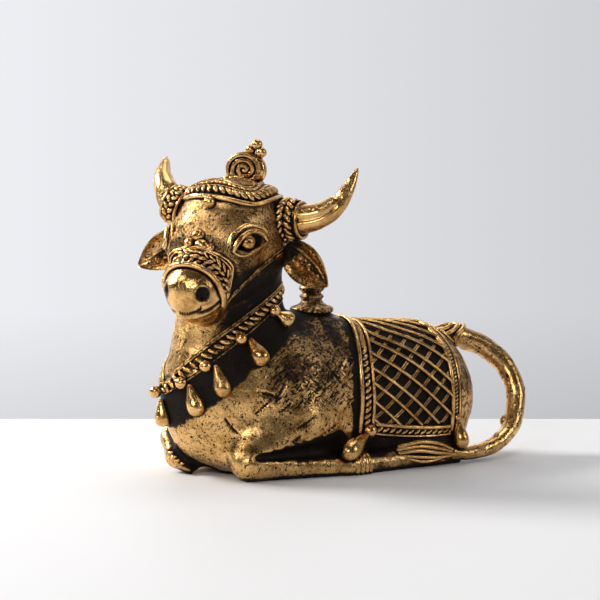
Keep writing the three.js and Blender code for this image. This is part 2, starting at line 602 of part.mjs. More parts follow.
// Saddle cloth: one skin with a band down each edge, a hem along each side and the lattice between
const clothPlace = (x, degrees) => {
  const way = [0, -Math.sin(radians(degrees)), Math.cos(radians(degrees))];
  const middle = [x, 0, CLOTH.axisZ];
  return [add(middle, mul(way, TRUNK_REACH)), middle];
};
const frontEdge = (degrees) => CLOTH.frontX + CLOTH.frontRise * Math.max(0, Math.cos(radians(degrees))) ** 3;
const { wire, field, mesh: sunk, foot } = RELIEF;
const edgeSteps = [[0, foot], [0.1, wire], [0.34, field], [0.78, field]];
const columns = [
  ...edgeSteps.map(([t, h]) => [(d) => frontEdge(d) + CLOTH.band * t, h]),
  ...range(LATTICE.columns + 1).map((n) => [(d) => {
    const front = frontEdge(d) + CLOTH.band;
    return front + ((CLOTH.rearX - CLOTH.rearBand - front) * n) / LATTICE.columns;
  }, n]),
  ...edgeSteps.map(([t, h]) => [() => CLOTH.rearX - CLOTH.rearBand * t, h]).reverse(),
];
const hemRows = edgeSteps.map(([t, h]) => [HEM.at + HEM.band * (1 - t), h]);
const rows = [
  ...hemRows.map(([d, h]) => [-d, h]),
  ...range(LATTICE.rows + 1).map((n) => [-HEM.at + (2 * HEM.at * n) / LATTICE.rows, n]),
  ...hemRows.map(([d, h]) => [d, h]).reverse(),
];
const edge = edgeSteps.length;
const inLattice = (n, count) => n >= edge && n < count - edge;
const clothPoints = [];
rows.forEach(([degrees, rowRise], r) => columns.forEach(([xAt, columnRise], c) => {
  const inRows = inLattice(r, rows.length);
  const inColumns = inLattice(c, columns.length);
  let rise = Math.min(inRows ? wire : rowRise, inColumns ? wire : columnRise);
  if (inRows && inColumns) rise = (rowRise + columnRise) % 2 ? sunk : wire;
  const p = surfaceFrom(trunkField, ...clothPlace(xAt(degrees), degrees));
  clothPoints.push(add(p, mul(slope(trunkField, p), rise)));
}));
const clothTriangles = [];
const node = (r, c) => r * columns.length + c;
for (const r of range(rows.length - 1)) {
  for (const c of range(columns.length - 1)) {
    const [p, q, u, v] = [node(r, c), node(r, c + 1), node(r + 1, c + 1), node(r + 1, c)];
    const ridge = inLattice(r, rows.length) && (rows[r][1] + columns[c][1]) % 2 === 0;
    if (ridge) clothTriangles.push([p, q, u], [p, u, v]);
    else clothTriangles.push([p, q, v], [q, u, v]);
  }
}
const rim = [
  ...range(columns.length - 1).map((c) => node(0, c)),
  ...range(rows.length - 1).map((r) => node(r, columns.length - 1)),
  ...range(columns.length - 1).map((c) => node(rows.length - 1, columns.length - 1 - c)),
  ...range(rows.length - 1).map((r) => node(rows.length - 1 - r, 0)),
];
clothPoints.push([(CLOTH.frontX + CLOTH.rearX) / 2, 0, CLOTH.axisZ]);
rim.forEach((p, n) => clothTriangles.push([rim[(n + 1) % rim.length], p, clothPoints.length - 1]));
put(facesOutward(geometryOf(clothPoints, clothTriangles)));

// Drops that hang from the corners of the cloth
for (const side of [1, -1]) {
  const hang = (from, { reach }) => add(from, [reach[0], reach[1] * side, reach[2]]);
  const cornerX = CLOTH.frontX + CLOTH.band * 0.6;
  const corner = surfaceFrom(trunkField, ...clothPlace(cornerX, side * (HEM.at + 1)));
  put(ball(corner, CORNER_BEAD_R));
  put(drop(corner, hang(corner, CORNER_DROP), CORNER_DROP));
  const rear = surfaceFrom(trunkField, ...clothPlace(CLOTH.rearX - 1.5, side * (HEM.at - 4)));
  put(drop(rear, hang(rear, REAR_DROP), REAR_DROP));
}

// Knob on the hump: a flared disc, a ringed neck and a rounded top
const knobDisc = [[0, 0], [0.8, 0], [1, 0.13], [0.94, 0.21]];
const knobNeck = [[1, 0.37], [1.12, 0.45], [0.9, 0.54], [1.15, 0.66], [0.95, 0.77], [0.8, 0.92], [0, 1]];
const knob = [
  ...knobDisc.map(([r, t]) => [r * KNOB.disc, t * KNOB.height]),
  ...knobNeck.map(([r, t]) => [r * KNOB.neck, t * KNOB.height]),
];
const knobFoot = surfaceFrom(trunkField, ...clothPlace(KNOB.x, 0));
put(turned(knob, 11, sub(knobFoot, [0, 0, KNOB.sunk]), [0, 0, 1]));

// Anklet rings round the bar of the left legs
const barWay = unit(sub(LEFT_HIND.hock, LEFT_HIND.foot));
const pitch = (ANKLET.to - ANKLET.from) / ANKLET.rings;
const anklet = [[0, 0]];
for (const n of range(ANKLET.rings)) {
  anklet.push([ANKLET.r - ANKLET.wire, pitch * n], [ANKLET.r, pitch * (n + 0.5)]);
}
anklet.push([ANKLET.r - ANKLET.wire, pitch * ANKLET.rings], [0, pitch * ANKLET.rings]);
put(turned(anklet, 10, add(LEFT_HIND.foot, mul(barWay, ANKLET.from - LEFT_HIND.foot[0])), barWay));

// Tail with its tuft
put(taper(TAIL_LINE, TAIL_RADII, 8, 17));
const tuftLine = between(0, 1, 2).map((t) => mix(TUFT.from, TUFT.to, t));
put(taper(tuftLine, [1.9, TUFT.r, TUFT.r, TUFT.r, 0.8], 8, 8, TUFT.flat, [0, 1, 0]));

// One casting: everything joined, the nostrils sunk and the foot cut flat
let casting = wasm.Manifold.union(pieces);
for (const side of [1, -1]) {
  const nostril = ball(fromHead([NOSTRIL.at[0], NOSTRIL.at[1] * side, NOSTRIL.at[2]]), NOSTRIL.r);
  casting = casting.subtract(solid(nostril));
}
const ground = new THREE.BoxGeometry(10 * TRUNK_REACH, 10 * TRUNK_REACH, TRUNK_REACH);
ground.translate(0, 0, GROUND_Z - TRUNK_REACH / 2);
casting = casting.subtract(solid(ground));

// Brought to its size, with the middle of its space over the origin
const mesh = casting.getMesh();
const geometry = new THREE.BufferGeometry();
geometry.setAttribute('position', new THREE.Float32BufferAttribute(mesh.vertProperties, 3));
geometry.setIndex(Array.from(mesh.triVerts));
geometry.computeBoundingBox();
const space = geometry.boundingBox;
geometry.translate(-(space.min.x + space.max.x) / 2, -(space.min.y + space.max.y) / 2, -space.min.z);
const scale = FIGURE_HEIGHT / (space.max.z - space.min.z);
geometry.scale(scale, scale, scale);
geometry.computeVertexNormals();

const brass = new THREE.MeshStandardMaterial({ color: 0xb98f45, metalness: 0.95, roughness: 0.32 });
const bull = new THREE.Mesh(geometry, brass);
bull.name = 'nandi_bull';
const group = new THREE.Group();
group.add(bull);

export default group;
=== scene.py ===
# %% [markdown]
# # A resting bull in cast brass
#
# The real figure is one hollow brass casting, made by the lost-wax way: a bull lies with its
# legs folded and its head turned to its left, and wires, leaves, beads and drops of wax were
# laid on it before it was cast. The high places are rubbed bright and the hollows are black.
#
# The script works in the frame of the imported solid. The whole form is written in the
# millimetres that the solid was drawn in and carried into the frame by one function.

# %% Load the frame
import itertools
import math

import bpy
import numpy as np
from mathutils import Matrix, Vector


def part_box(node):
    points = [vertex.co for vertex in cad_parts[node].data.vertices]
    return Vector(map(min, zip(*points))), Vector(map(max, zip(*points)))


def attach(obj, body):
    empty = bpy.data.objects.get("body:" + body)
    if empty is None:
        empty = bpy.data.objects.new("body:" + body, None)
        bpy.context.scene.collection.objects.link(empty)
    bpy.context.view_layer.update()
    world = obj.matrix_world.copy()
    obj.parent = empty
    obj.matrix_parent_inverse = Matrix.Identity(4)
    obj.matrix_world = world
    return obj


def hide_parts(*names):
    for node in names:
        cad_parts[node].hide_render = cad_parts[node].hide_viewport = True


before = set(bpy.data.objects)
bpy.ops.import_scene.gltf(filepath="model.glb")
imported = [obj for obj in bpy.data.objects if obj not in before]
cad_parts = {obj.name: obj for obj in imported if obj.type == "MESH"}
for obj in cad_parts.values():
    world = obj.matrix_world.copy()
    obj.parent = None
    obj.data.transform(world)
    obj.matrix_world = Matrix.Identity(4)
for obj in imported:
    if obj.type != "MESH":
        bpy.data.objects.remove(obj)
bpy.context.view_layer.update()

# %% [markdown]
# ## From the drawing to the frame
#
# The drawing has the bull looking along -X, its left flank towards -Y and the ground at
# z = 0.5. Only two things carry it into the frame: one scale, from the two heights, and
# one shift, which sets the middle of the drawing's box over the origin.

# %% Drawing to frame
DRAWN_LOW = np.array([-56.72, -32.32, 0.5])
DRAWN_HIGH = np.array([83.02, 33.47, 110.58])
BODY_LOW, BODY_HIGH = [np.array(corner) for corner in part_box("nandi_bull")]
SCALE = (BODY_HIGH - BODY_LOW)[2] / (DRAWN_HIGH - DRAWN_LOW)[2]
DRAWN_FOOT = np.append((DRAWN_LOW[:2] + DRAWN_HIGH[:2]) / 2, DRAWN_LOW[2])
FRAME_FOOT = np.append((BODY_LOW[:2] + BODY_HIGH[:2]) / 2, BODY_LOW[2])


def to_frame(points):
    """Drawn millimetres to metres: the point less the drawing's foot, scaled, plus the frame's foot."""
    return (np.asarray(points, float) - DRAWN_FOOT) * SCALE + FRAME_FOOT


print("metres per drawn millimetre:", round(SCALE, 7))

# %% [markdown]
# ## Camera
#
# The picture was taken from the bull's left, 30 degrees round towards its face and 5 degrees
# above level, through a long lens. The lens follows from the distance and from how many
# millimetres of the figure one picture element covers.

# %% Camera
PICTURE_SIDE = 600
VIEW_TURN = math.radians(-30)
VIEW_RISE = math.radians(5)
VIEW_DISTANCE = 800.0
VIEW_AIM = np.array([0.0, 0.0, 56.4])
MM_PER_PIXEL = 0.335
SENSOR_WIDTH = 36.0

view_back = np.array([math.sin(VIEW_TURN) * math.cos(VIEW_RISE),
                      -math.cos(VIEW_TURN) * math.cos(VIEW_RISE), math.sin(VIEW_RISE)])
camera_data = bpy.data.cameras.new("camera")
camera_data.sensor_width = SENSOR_WIDTH
camera_data.lens = SENSOR_WIDTH * VIEW_DISTANCE / MM_PER_PIXEL / PICTURE_SIDE
camera = bpy.data.objects.new("camera", camera_data)
bpy.context.scene.collection.objects.link(camera)
camera.location = to_frame(VIEW_AIM + view_back * VIEW_DISTANCE)
camera.rotation_euler = Vector(-view_back).to_track_quat("-Z", "Y").to_euler()
bpy.context.scene.camera = camera
print("lens in millimetres:", round(camera_data.lens, 1))

# %% [markdown]
# ## Floor and light
#
# The floor is a plain pale board whose far edge shows a hand's breadth behind the figure.
# Polished brass shows what stands round it, so the light is built as a room: a pale wall
# behind, a darker side towards the camera, one broad soft light from the left and a little
# behind, which throws the soft shadow to the right, and weaker ones round the front. The
# dark side of the room is what draws the brown and black shapes in the polish.

# %% Floor
PAINT_GRAIN = 40.0
PAINT_SHADE = 0.985


def simple_material(name, colour, roughness):
    """A matt paint of one colour with a faint grain, for the floor only."""
    material = bpy.data.materials.new(name)
    material.use_nodes = True
    nodes, links = material.node_tree.nodes, material.node_tree.links
    shader = nodes["Principled BSDF"]
    shader.inputs["Roughness"].default_value = roughness
    grain = nodes.new("ShaderNodeTexNoise")
    grain.inputs["Scale"].default_value = PAINT_GRAIN
    tint = nodes.new("ShaderNodeMixRGB")
    tint.inputs[1].default_value = (*[c * PAINT_SHADE for c in colour], 1)
    tint.inputs[2].default_value = (*colour, 1)
    where = nodes.new("ShaderNodeTexCoord")
    links.new(where.outputs["Object"], grain.inputs["Vector"])
    links.new(grain.outputs["Fac"], tint.inputs[0])
    links.new(tint.outputs[0], shader.inputs["Base Color"])
    return material


FLOOR_BEHIND = 0.107
FLOOR_SIDE = 1.6
FLOOR_FRONT = 1.6
ground_back = np.array([view_back[0], view_back[1]]) / math.hypot(view_back[0], view_back[1])
ground_right = np.array([-ground_back[1], ground_back[0]])
floor_corners = [(*(ground_right * side * FLOOR_SIDE + ground_back * ahead), 0.0) for side, ahead in
                 ((-1, FLOOR_FRONT), (1, FLOOR_FRONT), (1, -FLOOR_BEHIND), (-1, -FLOOR_BEHIND))]
floor_mesh = bpy.data.meshes.new("floor")
floor_mesh.from_pydata(floor_corners, [], [(0, 1, 2, 3)])
floor = bpy.data.objects.new("floor", floor_mesh)
bpy.context.scene.collection.objects.link(floor)
floor_mesh.materials.append(simple_material("pale_floor", (0.79, 0.79, 0.80), 0.6))
print("floor reaches", FLOOR_BEHIND, "m behind the figure")

# %% Lights
AIM_LIGHT = Vector(to_frame((5, 0, 45)))


def soft_light(name, turn, rise, distance, width, height, power, colour):
    """A flat lamp that faces the figure from a turn round the camera's own direction and a rise."""
    a, e = VIEW_TURN + math.radians(turn), math.radians(rise)
    way = Vector((math.sin(a) * math.cos(e), -math.cos(a) * math.cos(e), math.sin(e)))
    data = bpy.data.lights.new(name, "AREA")
    data.shape = "RECTANGLE"
    data.size, data.size_y = width, height
    data.energy = power
    data.color = colour
    lamp = bpy.data.objects.new(name, data)
    bpy.context.scene.collection.objects.link(lamp)
    lamp.location = AIM_LIGHT + way * distance
    lamp.rotation_euler = way.to_track_quat("Z", "Y").to_euler()
    return lamp


# Name, degrees round from the camera, rise, distance, width, height, power, colour
WARM, MILD, WHITE, COOL = (1.0, 0.98, 0.95), (1.0, 0.985, 0.97), (1.0, 1.0, 1.0), (0.97, 0.98, 1.0)
LIGHTS = (
    ("key", -110, 33, 0.95, 0.34, 0.28, 9.9, WARM),
    ("left_front", -64, 40, 1.0, 0.20, 0.16, 0.9, WARM),
    ("front_fill", -22, 26, 1.1, 0.40, 0.16, 2.9, MILD),
    ("right_strip", 74, 24, 1.0, 0.10, 0.45, 1.4, COOL),
    ("top", 150, 72, 1.1, 0.5, 0.5, 2.2, WHITE),
    ("rear", 180, 24, 1.3, 0.8, 0.35, 0.9, WHITE),
)
for row in LIGHTS:
    soft_light(*row)

# %% [markdown]
# The room is worked out from the direction alone. Its first tone is behind the camera and its
# last behind the figure, where the wall also grows a little darker to the right and towards
# its foot.

# %% Room
ROOM_TONES = ((0.0, (0.075, 0.07, 0.065)), (0.34, (0.22, 0.22, 0.225)), (0.62, (0.80, 0.805, 0.84)))
# From and to along the direction, and the strength at each
WALL_FALL = (-0.12, 0.12, 1.06, 0.80)
WALL_FOOT = (-0.145, -0.09, 0.80, 1.0)
world = bpy.data.worlds.new("room")
bpy.context.scene.world = world
world.use_nodes = True
room_nodes, room_links = world.node_tree.nodes, world.node_tree.links
room_way = room_nodes.new("ShaderNodeTexCoord").outputs["Generated"]


def room_dot(way):
    """How far a direction of the room agrees with the given one: the product of the two."""
    dot = room_nodes.new("ShaderNodeVectorMath")
    dot.operation = "DOT_PRODUCT"
    dot.inputs[1].default_value = way
    room_links.new(room_way, dot.inputs[0])
    return dot.outputs["Value"]


room_ramp = room_nodes.new("ShaderNodeValToRGB")
room_links.new(room_dot((-ground_back[0], -ground_back[1], 0.0)), room_ramp.inputs["Fac"])
room_ramp.color_ramp.elements.new(ROOM_TONES[1][0])
for element, (position, tone) in zip(room_ramp.color_ramp.elements, ROOM_TONES):
    element.position = position
    element.color = (*tone, 1)
both = room_nodes.new("ShaderNodeMath")
both.operation = "MULTIPLY"
for n, (way, limits) in enumerate((((*ground_right, 0.0), WALL_FALL), ((0.0, 0.0, 1.0), WALL_FOOT))):
    shade = room_nodes.new("ShaderNodeMapRange")
    for key, value in zip(("From Min", "From Max", "To Min", "To Max"), limits):
        shade.inputs[key].default_value = value
    room_links.new(room_dot(way), shade.inputs["Value"])
    room_links.new(shade.outputs["Result"], both.inputs[n])
room_links.new(room_ramp.outputs["Color"], room_nodes["Background"].inputs["Color"])
room_links.new(both.outputs[0], room_nodes["Background"].inputs["Strength"])
bpy.context.scene.view_settings.view_transform = "Standard"

# %% [markdown]
# ## Helpers for points and fields
#
# The bull's form is a field: a function that is negative inside, zero on the skin and
# positive outside, about as many millimetres as the skin is away. Fields of simple bodies
# are joined softly, which gives the fillets that a wax model has by itself. The same field
# tells every wire and bead where the skin is, so nothing floats and nothing sinks.

# %% Points
def unit(v):
    """Each vector divided by its length."""
    v = np.asarray(v, float)
    return v / np.maximum(np.linalg.norm(v, axis=-1, keepdims=True), 1e-9)


def ease(x, start, end):
    """0 before start, 1 after end, and 3t^2 - 2t^3 between them."""
    t = np.clip((x - start) / (end - start), 0, 1)
    return t * t * (3 - 2 * t)


def band(x, start, full, fade, end):
    """0 outside start and end, 1 from full to fade, eased between."""
    return ease(x, start, full) * (1 - ease(x, fade, end))


def bell(x, wide):
    """1 where x is 0, falling to both sides as e to the minus (x / wide) squared."""
    return np.exp(-((x / wide) ** 2))


def arch(share):
    """0 at both ends of a line and 1 in its middle, as half a turn of the sine."""
    return np.sin(np.pi * share)


def mirrored(points):
    """The same points with their second number made positive."""
    return np.stack([points[..., 0], np.abs(points[..., 1]), points[..., 2]], -1)


def smooth_line(points, count):
    """A line through all the points: between two of them the cubic of Catmull and Rom."""
    p = np.asarray(points, float)
    t = np.linspace(0, len(p) - 1, count)
    k = np.minimum(np.floor(t).astype(int), len(p) - 2)
    p = np.vstack([2 * p[0] - p[1], p, 2 * p[-1] - p[-2]])
    a, b, c, d = (p[k + s] for s in (0, 1, 2, 3))
    f = (t - k)[:, None]
    return 0.5 * (2 * b + (c - a) * f + (2 * a - 5 * b + 4 * c - d) * f**2 + (3 * b - a - 3 * c + d) * f**3)


LATTICE = 32


def noise(points, size, seed):
    """A soft random field from -1 to 1: random numbers on a lattice of that size, eased between."""
    table = np.random.default_rng(seed).uniform(-1, 1, (LATTICE,) * 3)
    q = np.asarray(points) / size
    base = np.floor(q).astype(int)
    f = q - base
    f = f * f * (3 - 2 * f)
    total = np.zeros(q.shape[:-1])
    for corner in itertools.product((0, 1), repeat=3):
        c = np.array(corner)
        weight = np.prod(np.where(c, f, 1 - f), axis=-1)
        place = (base + c) % LATTICE
        total += weight * table[place[..., 0], place[..., 1], place[..., 2]]
    return total

# %% Fields
def ellipsoid(p, at, size):
    """With k the distance in units of the half axes: k (k - 1) over the length of k's slope."""
    q = (p - at) / size
    near = np.linalg.norm(q, axis=-1)
    steep = np.linalg.norm(q / size, axis=-1)
    return near * (near - 1) / np.maximum(steep, 1e-6)


def limb(p, a, b, r_a, r_b, stretch=(1, 1, 1)):
    """Distance to the nearest point of the line from a to b, less the radius there."""
    stretch = np.asarray(stretch, float)
    p, a, b = p / stretch, np.asarray(a) / stretch, np.asarray(b) / stretch
    along = b - a
    t = np.clip((p - a) @ along / (along @ along), 0, 1)
    return np.linalg.norm(p - a - t[..., None] * along, axis=-1) - (r_a + (r_b - r_a) * t)


def join(a, b, soft):
    """The smaller of two fields, lowered by h^2 soft / 4 where they differ by less than soft."""
    h = np.maximum(soft - np.abs(a - b), 0) / soft
    return np.minimum(a, b) - h * h * soft / 4


def carve(a, b, soft):
    """What is in a and not in b, with a fillet."""
    return -join(-a, b, soft)

# %% [markdown]
# ## The bull's bulk
#
# These are the driving sizes of the solid: a barrel with chest, hump, haunches and
# shoulders, a neck with its throat, the folded legs, and a head in axes of its own. A lump
# of clay could be pushed about for the same form, but then no wire would know where the
# skin is, and no size could be changed.

# %% Trunk, neck and legs
GROUND = 0.5


def trunk(p):
    """Barrel, chest, hump, haunches, shoulders, brisket and belly, joined softly."""
    m = mirrored(p)
    d = limb(p, (-12, 0, 26), (43, 0, 25), 23.5, 21, (1, 0.93, 1.04))
    d = join(d, ellipsoid(p, (-25, 0, 22), (24, 19, 21.5)), 10)
    d = join(d, ellipsoid(p, (3, 0, 43), (12, 9, 9.5)), 8)
    d = join(d, ellipsoid(m, (36, 13, 20), (23, 10, 20)), 8)
    d = join(d, ellipsoid(m, (-14, 11, 27), (16, 11.5, 19)), 8)
    d = join(d, limb(m, (-8, 14, 14), (-27, 17, 8), 9, 6.5), 10)
    return join(d, limb(m, (-14, 9, 7), (44, 9, 8), 9.5, 9.5), 8)


def neck(p):
    """A tapering neck with the throat in front of it."""
    d = limb(p, (-27, 0, 34), (-22.5, -1, 72), 18, 13.5, (1, 0.85, 1))
    return join(d, limb(p, (-40, 0, 30), (-37.5, -2, 58), 9, 8, (1, 0.9, 1)), 8)


LEG_BAR = {"knee": (-31, -21.2, 5.8), "foot": (4, -25, 3.1), "hock": (48, -19, 4)}
RIGHT_KNEE = (-39.2, 14, 10.8)
RIGHT_SHANK = ((-42, 8.2, 6.2), (-40.5, 3.2, 3.6))


def legs(p):
    """Left fore and hind leg meet in one bar on the ground; the right forefoot is tucked under the chest."""
    d = limb(p, (-12, -15, 20), (-30, -19.8, 6), 9, 5.6)
    d = join(d, limb(p, LEG_BAR["knee"], LEG_BAR["foot"], 4.7, 3.2), 2)
    d = join(d, limb(p, LEG_BAR["foot"], LEG_BAR["hock"], 3.2, 4.7), 2)
    d = join(d, limb(p, (-22, 12, 18), RIGHT_KNEE, 9, 5.3), 3)
    d = join(d, limb(p, RIGHT_KNEE, RIGHT_SHANK[0], 5.3, 4), 1.5)
    d = join(d, limb(p, *RIGHT_SHANK, 4, 3.1), 1.5)
    return join(d, limb(p, (8, 24, 3.1), (48, 19, 4), 3.2, 4.7), 2)

# %% Head
HEAD_AT = np.array([-23.2, -1, 86.5])
HEAD_TURN = math.radians(33)
HEAD_LEAN = math.radians(3.5)
head_level = np.array([math.sin(HEAD_TURN), -math.cos(HEAD_TURN), 0])
HEAD_AXES = np.array([
    [-math.cos(HEAD_TURN), -math.sin(HEAD_TURN), 0],
    head_level * math.cos(HEAD_LEAN) - np.array([0, 0, math.sin(HEAD_LEAN)]),
    head_level * math.sin(HEAD_LEAN) + np.array([0, 0, math.cos(HEAD_LEAN)]),
])


def to_head(p):
    """Figure to head: forward, to the bull's left, and up, from a point between the horns."""
    return (p - HEAD_AT) @ HEAD_AXES.T


def from_head(q):
    """Head to figure."""
    return np.asarray(q, float) @ HEAD_AXES + HEAD_AT


EYE_AT = np.array([19.8, 14.6, -7.3])
EYE_ALONG = unit(np.array([-14.9, 4.3, 1.5]))
EYE_OUT = unit(np.cross(EYE_ALONG, np.cross(np.array([0.4, 1, 0.15]), EYE_ALONG)))
EYE_RISE = np.cross(EYE_OUT, EYE_ALONG)
NOSTRIL = np.array([35.2, 7.2, -24.0])


def bare_head(q):
    """Skull, face, brows, cheeks, muzzle, chin and the dome of the cap."""
    m = mirrored(q)
    d = ellipsoid(m, (3, 0, -3), (18.5, 17, 13.5))
    d = join(d, limb(m, (11, 0, -6), (27, 0, -23), 12.5, 8.6), 8)
    d = join(d, ellipsoid(m, (19, 9.5, -10), (7.5, 6.5, 7)), 5)
    d = join(d, limb(m, (4, 9, -14), (18, 5, -22), 9, 6.5), 6)
    d = join(d, ellipsoid(m, (28.5, 0, -23.5), (9, 9.2, 8.6)), 3)
    d = join(d, ellipsoid(m, (24, 0, -30), (8.5, 7, 5)), 3)
    return join(d, ellipsoid(m, (5, -0.3, 4.2), (16.7, 15.3, 7.2)), 1)


def head(q):
    """The bare head with its nostrils and eye sockets sunk."""
    m = mirrored(q)
    d = bare_head(q)
    d = carve(d, np.linalg.norm(m - NOSTRIL, axis=-1) - 2.3, 0.8)
    socket = np.stack([(m - EYE_AT) @ EYE_ALONG, (m - EYE_AT) @ EYE_RISE, (m - EYE_AT) @ EYE_OUT], -1)
    return carve(d, ellipsoid(socket, np.zeros(3), np.array([6.6, 3.1, 2.6])), 0.5)


HOLLOW = ((-31, -25.5, 8.6), (7, -24.5, 9.4), 0.6, 3.2)


def hull(p):
    """Trunk, neck and legs, with the hollow above the leg bar."""
    d = join(join(trunk(p), neck(p), 9), legs(p), 4)
    return carve(d, limb(p, *HOLLOW), 1.5)


def bare_bull(p):
    """Hull and bare head: what ornaments are laid on."""
    return join(hull(p), bare_head(to_head(p)), 5)


def bull(p):
    """The same with the sunk places of the head, cut level at the ground."""
    return np.maximum(join(hull(p), head(to_head(p)), 5), GROUND - p[..., 2])


def head_field(p):
    """The bare head alone, asked in the figure's axes."""
    return bare_head(to_head(p))

# %% Slope of a field and the way onto it
def slope(field, p, step=0.15):
    """The outward direction: differences of the field to both sides along each axis."""
    ways = np.eye(3) * step
    return unit(np.stack([field(p + w) - field(p - w) for w in ways], -1))


def march(field, start, aim, steps=70):
    """The first skin on the way from start to aim: each step goes 0.8 of the distance that is free."""
    start, aim = np.broadcast_arrays(np.asarray(start, float), np.asarray(aim, float))
    way = unit(aim - start)
    limit = np.linalg.norm(aim - start, axis=-1)
    t = np.zeros(limit.shape)
    for _ in range(steps):
        t = np.minimum(t + 0.8 * field(start + way * t[..., None]), limit)
    return start + way * t[..., None]

# %% [markdown]
# ## From a field to a mesh
#
# The field is read on a grid of cells. Each cell that the skin passes through gets one
# vertex, at the mean of the places where its edges are crossed, and each crossed edge gets
# one face from its four cells. The vertices are then drawn onto the skin. Whole arrays are
# used throughout, so a mesh of a hundred thousand faces takes seconds.

# %% Skinning a field
def skin_field(field, lines):
    """Vertices and four-cornered faces of the skin on the grid with these lines along x, y and z."""
    grid = np.stack(np.meshgrid(*lines, indexing="ij"), -1)
    value = np.concatenate([field(slab) for slab in np.array_split(grid, 12)])
    value[value == 0] = 1e-9
    inside = value < 0
    shape = np.array(value.shape)
    cells = tuple(shape - 1)
    total = np.zeros((*cells, 3))
    many = np.zeros(cells)
    crossings = []
    for axis in range(3):
        low = [slice(None)] * 3
        high = [slice(None)] * 3
        low[axis], high[axis] = slice(0, -1), slice(1, None)
        low, high = tuple(low), tuple(high)
        crossed = inside[low] != inside[high]
        crossings.append(crossed)
        place = np.argwhere(crossed)
        a, b = value[low][crossed], value[high][crossed]
        t = (a / (a - b))[:, None]
        point = grid[low][crossed] * (1 - t) + grid[high][crossed] * t
        u, v = (axis + 1) % 3, (axis + 2) % 3
        for back_u, back_v in itertools.product((0, 1), repeat=2):
            cell = place.copy()
            cell[:, u] -= back_u
            cell[:, v] -= back_v
            fits = ((cell >= 0) & (cell < cells)).all(axis=1)
            where = tuple(cell[fits].T)
            np.add.at(total, where, point[fits])
            np.add.at(many, where, 1)
    used = many > 0
    number = -np.ones(cells, int)
    number[used] = np.arange(used.sum())
    points = total[used] / many[used][:, None]
    faces = []
    for axis in range(3):
        place = np.argwhere(crossings[axis])
        u, v = (axis + 1) % 3, (axis + 2) % 3
        place = place[(place[:, u] > 0) & (place[:, v] > 0)]
        starts_inside = inside[tuple(place.T)]
        corners = []
        for back_u, back_v in ((1, 1), (0, 1), (0, 0), (1, 0)):
            cell = place.copy()
            cell[:, u] -= back_u
            cell[:, v] -= back_v
            corners.append(number[tuple(cell.T)])
        quads = np.stack(corners, -1)
        faces += [quads[starts_inside], quads[~starts_inside][:, ::-1]]
    for _ in range(2):
        points = points - slope(field, points) * np.clip(field(points), -0.6, 0.6)[:, None]
    return points, np.vstack(faces)

# %% Putting a mesh into the scene
def add_piece(name, points, faces, material, values=None):
    """A smooth-shaded mesh on the root body that stands for the casting; values are numbers per vertex."""
    mesh = bpy.data.meshes.new(name)
    lists = faces if isinstance(faces, list) else [faces]
    corners = np.concatenate([f.ravel() for f in lists])
    sizes = np.concatenate([np.full(len(f), f.shape[1]) for f in lists])
    mesh.vertices.add(len(points))
    mesh.vertices.foreach_set("co", to_frame(points).ravel())
    mesh.loops.add(len(corners))
    mesh.loops.foreach_set("vertex_index", corners.astype(np.int32))
    mesh.polygons.add(len(sizes))
    mesh.polygons.foreach_set("loop_start", (np.cumsum(sizes) - sizes).astype(np.int32))
    mesh.polygons.foreach_set("use_smooth", np.ones(len(sizes), bool))
    for key, value in (values or {}).items():
        layer = mesh.attributes.new(key, "FLOAT", "POINT")
        layer.data.foreach_set("value", np.asarray(value, np.float32))
    mesh.update(calc_edges=True)
    mesh.validate()
    mesh.materials.append(material)
    piece = bpy.data.objects.new(name, mesh)
    bpy.context.scene.collection.objects.link(piece)
    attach(piece, "root")
    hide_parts("nandi_bull")
    print(f"{name}: {len(points)} vertices, {int((sizes - 2).sum())} triangles")
    return piece

# %% [markdown]
# ## Aged brass
#
# One finish covers the whole casting, so one function makes it in several states of wear.
# Polished brass is a metal whose colour is its reflection, and the patina in the hollows is
# a dull black-brown crust. The same crust also stands for painted shade: under the jaw, low
# down by the ground, in the recess above the leg bar, in the brisket's fold and where parts
# close in. What decides between them is a mask: a number kept on each vertex, plus how
# closed-in the place is, plus flecks of noise. Pits are Voronoi cells whose random size is
# mostly too small to show. Fine strokes are noise that is drawn out along one direction. All
# of them also raise or sink the surface as bump.

# %% Brass
BRASS_BRIGHT = (0.84, 0.515, 0.20)
BRASS_DEEP = (0.50, 0.255, 0.06)
# The brown and black tones colour the patina and also painted shade
TARNISH_AND_SHADE = (0.105, 0.050, 0.017)
CRUST_AND_SHADE = (0.006, 0.0045, 0.0035)
CRUST_DUST_AND_SHADE = (0.024, 0.015, 0.008)
PER_MM = 1 / 0.001
# Weights of each mark in the crust and in the relief
CRUST_OF = {"pit": 0.9, "stroke": 1.0, "hair": 0.46, "scratch": -0.30}
RELIEF_OF = {"flecks": 0.10, "broad": 0.5, "grain": 0.035,
             "pit": -0.30, "stroke": -0.60, "hair": -0.16, "scratch": -0.05}
# Where the ramps start and end: how shut in a place is, from bare to brown, and from brown to black
SHUT_IN, TO_BROWN, TO_BLACK = (0.10, 0.62), (0.18, 0.48), (0.48, 0.66)
# How much polish and hair calm the flecks
CALM_POLISH, CALM_HAIR = 0.6, 0.75
BUMP_STRENGTH, BUMP_DEPTH = 0.8, 0.0008


